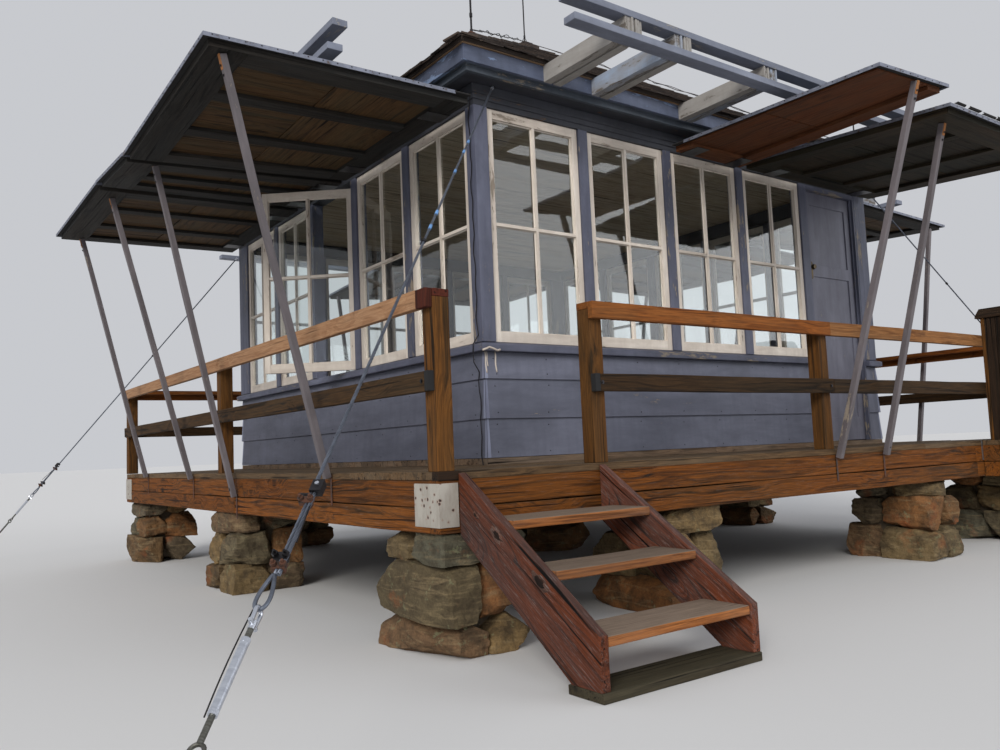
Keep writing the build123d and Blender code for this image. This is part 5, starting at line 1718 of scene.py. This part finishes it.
for (sign_x, sign_y), ends in GUYS.items():
    top, anchor = [Vector((sign_x * (HALF + x), sign_y * (HALF + y), z)) for x, y, z in ends]
    run = (anchor - top).normalized()
    aside = run.cross(Vector((0, 0, 1))).normalized()
    down = run.cross(aside)

    def at(distance):
        """The point of this guy that far up from its ground end."""
        return anchor - run * distance

    tail = aside * -TAIL_ASIDE
    twisted(cables, top, at(LOOP_TOP))
    twisted(cables, at(UPPER_CLAMP + 0.03) + tail, at(LOOP_TOP) + tail)
    clamp(at, run, aside, down)
    for distance in TAPES if (sign_x, sign_y) == TAPED else ():
        rod(tapes, at(distance - 0.018), at(distance + 0.018), CABLE_R + 0.0012, 10)
    rod(dark_clips, at(SPLICE - 0.014), at(SPLICE + 0.006), CABLE_R + 0.003, 10)
    # The tail of the cable springs away from the rusty clip
    path = []
    for k in range(8):
        path.append(at(UPPER_CLAMP - 0.03 - 0.024 * k) - aside * (0.010 + 0.0025 * k) - down * 0.002 * k)
    tube(dark_clips, path, 0.0020, 6, 0.5)
    loop(at, run, aside, down)
    turnbuckle(at, run, aside, down)
    rod(anchors, at(EYE_AT - 0.040), anchor, 0.0085, 10)
    # The safety wire beside the turnbuckle
    path = []
    for k in range(13):
        path.append(at(LOOP_END - 0.275 * k / 12) + aside * (0.016 + 0.004 * math.sin(math.pi * k / 12)))
    tube(dark_clips, path, 0.0018, 6, 0.5)
    # The eye bolt at the eave
    rod(fittings, top, top + run * 0.03, 0.009)
for p in anchors.points:
    p.z = max(p.z, 0.0)

# The lightning conductor that runs down the near corner and steps out over the sill
WIRE_STEPS = 39
WIRE_TOP = SASH_MIDDLE + 0.70
path = [Vector((-HALF - 0.02, out(0.03), FASCIA_LOW + 0.02))]
for step in range(WIRE_STEPS + 1):
    height = WIRE_TOP - step * (WIRE_TOP - DECK) / WIRE_STEPS
    wave = 0.007 * math.sin(step * 1.7) + 0.004 * math.sin(step * 0.9)
    depth = 0.044 if abs(height - SIDING_TOP) < 0.08 else 0.007
    path.append(Vector((-HALF - depth, -HALF + 0.045 + wave, height)))
down_wire = Heap("corner_conductor", dark_iron, "dark_iron")
tube(down_wire, path, 0.0032, 6, 0.5)

for heap in heaps:
    heap.build()

# Floor, light and camera
SPREAD = 300
floor_mesh = bpy.data.meshes.new("studio_floor")
floor_corners = [(x * SPREAD, y * SPREAD, 0) for x, y in ((-1, -1), (1, -1), (1, 1), (-1, 1))]
floor_mesh.from_pydata(floor_corners, [], [(0, 1, 2, 3)])
studio_floor = bpy.data.objects.new("studio_floor", floor_mesh)
bpy.context.scene.collection.objects.link(studio_floor)
floor_finish = bpy.data.materials.new("studio_floor")
floor_finish.use_nodes = True
floor_shader = floor_finish.node_tree.nodes["Principled BSDF"]
floor_shader.inputs["Base Color"].default_value = (0.66, 0.66, 0.66, 1)
floor_shader.inputs["Roughness"].default_value = 0.9
floor_mesh.materials.append(floor_finish)

world = bpy.data.worlds.new("studio")
bpy.context.scene.world = world
world.use_nodes = True
sky = world.node_tree.nodes["Background"]
sky.inputs["Color"].default_value = (0.93, 0.95, 1.0, 1)
sky.inputs["Strength"].default_value = 0.62


def lamp(name, place, strength, spread, tint):
    """A broad soft light from far away that shines on the middle of the object."""
    data = bpy.data.lights.new(name, "SUN")
    data.energy = strength
    data.angle = math.radians(spread)
    data.color = tint
    obj = bpy.data.objects.new(name, data)
    obj.location = place
    obj.rotation_euler = (Vector((0, 0, 2)) - Vector(place)).to_track_quat("-Z", "Y").to_euler()
    bpy.context.scene.collection.objects.link(obj)


lamp("key", (-11, -9, 9), 2.2, 24, (1.0, 0.97, 0.92))
lamp("fill", (9, -12, 5), 0.7, 40, (0.95, 0.97, 1.0))

CAMERA_AT = (-5.0591, -6.3216, 0.9327)
CAMERA_TURN = math.radians(54.02)
CAMERA_PITCH = math.radians(4.97)
CAMERA_ROLL = math.radians(-2.42)
LENS = 30.84
camera_data = bpy.data.cameras.new("camera")
camera_data.sensor_fit = "HORIZONTAL"
camera_data.sensor_width = 36
camera_data.lens = LENS
camera_data.clip_end = 300
camera = bpy.data.objects.new("camera", camera_data)
forward = Vector((math.cos(CAMERA_TURN) * math.cos(CAMERA_PITCH),
                  math.sin(CAMERA_TURN) * math.cos(CAMERA_PITCH),
                  math.sin(CAMERA_PITCH)))
level = forward.to_track_quat("-Z", "Y").to_matrix().to_4x4()
camera.matrix_world = Matrix.Translation(CAMERA_AT) @ level @ Matrix.Rotation(CAMERA_ROLL, 4, "Z")
bpy.context.scene.collection.objects.link(camera)
bpy.context.scene.camera = camera
bpy.context.scene.view_settings.view_transform = "Standard"
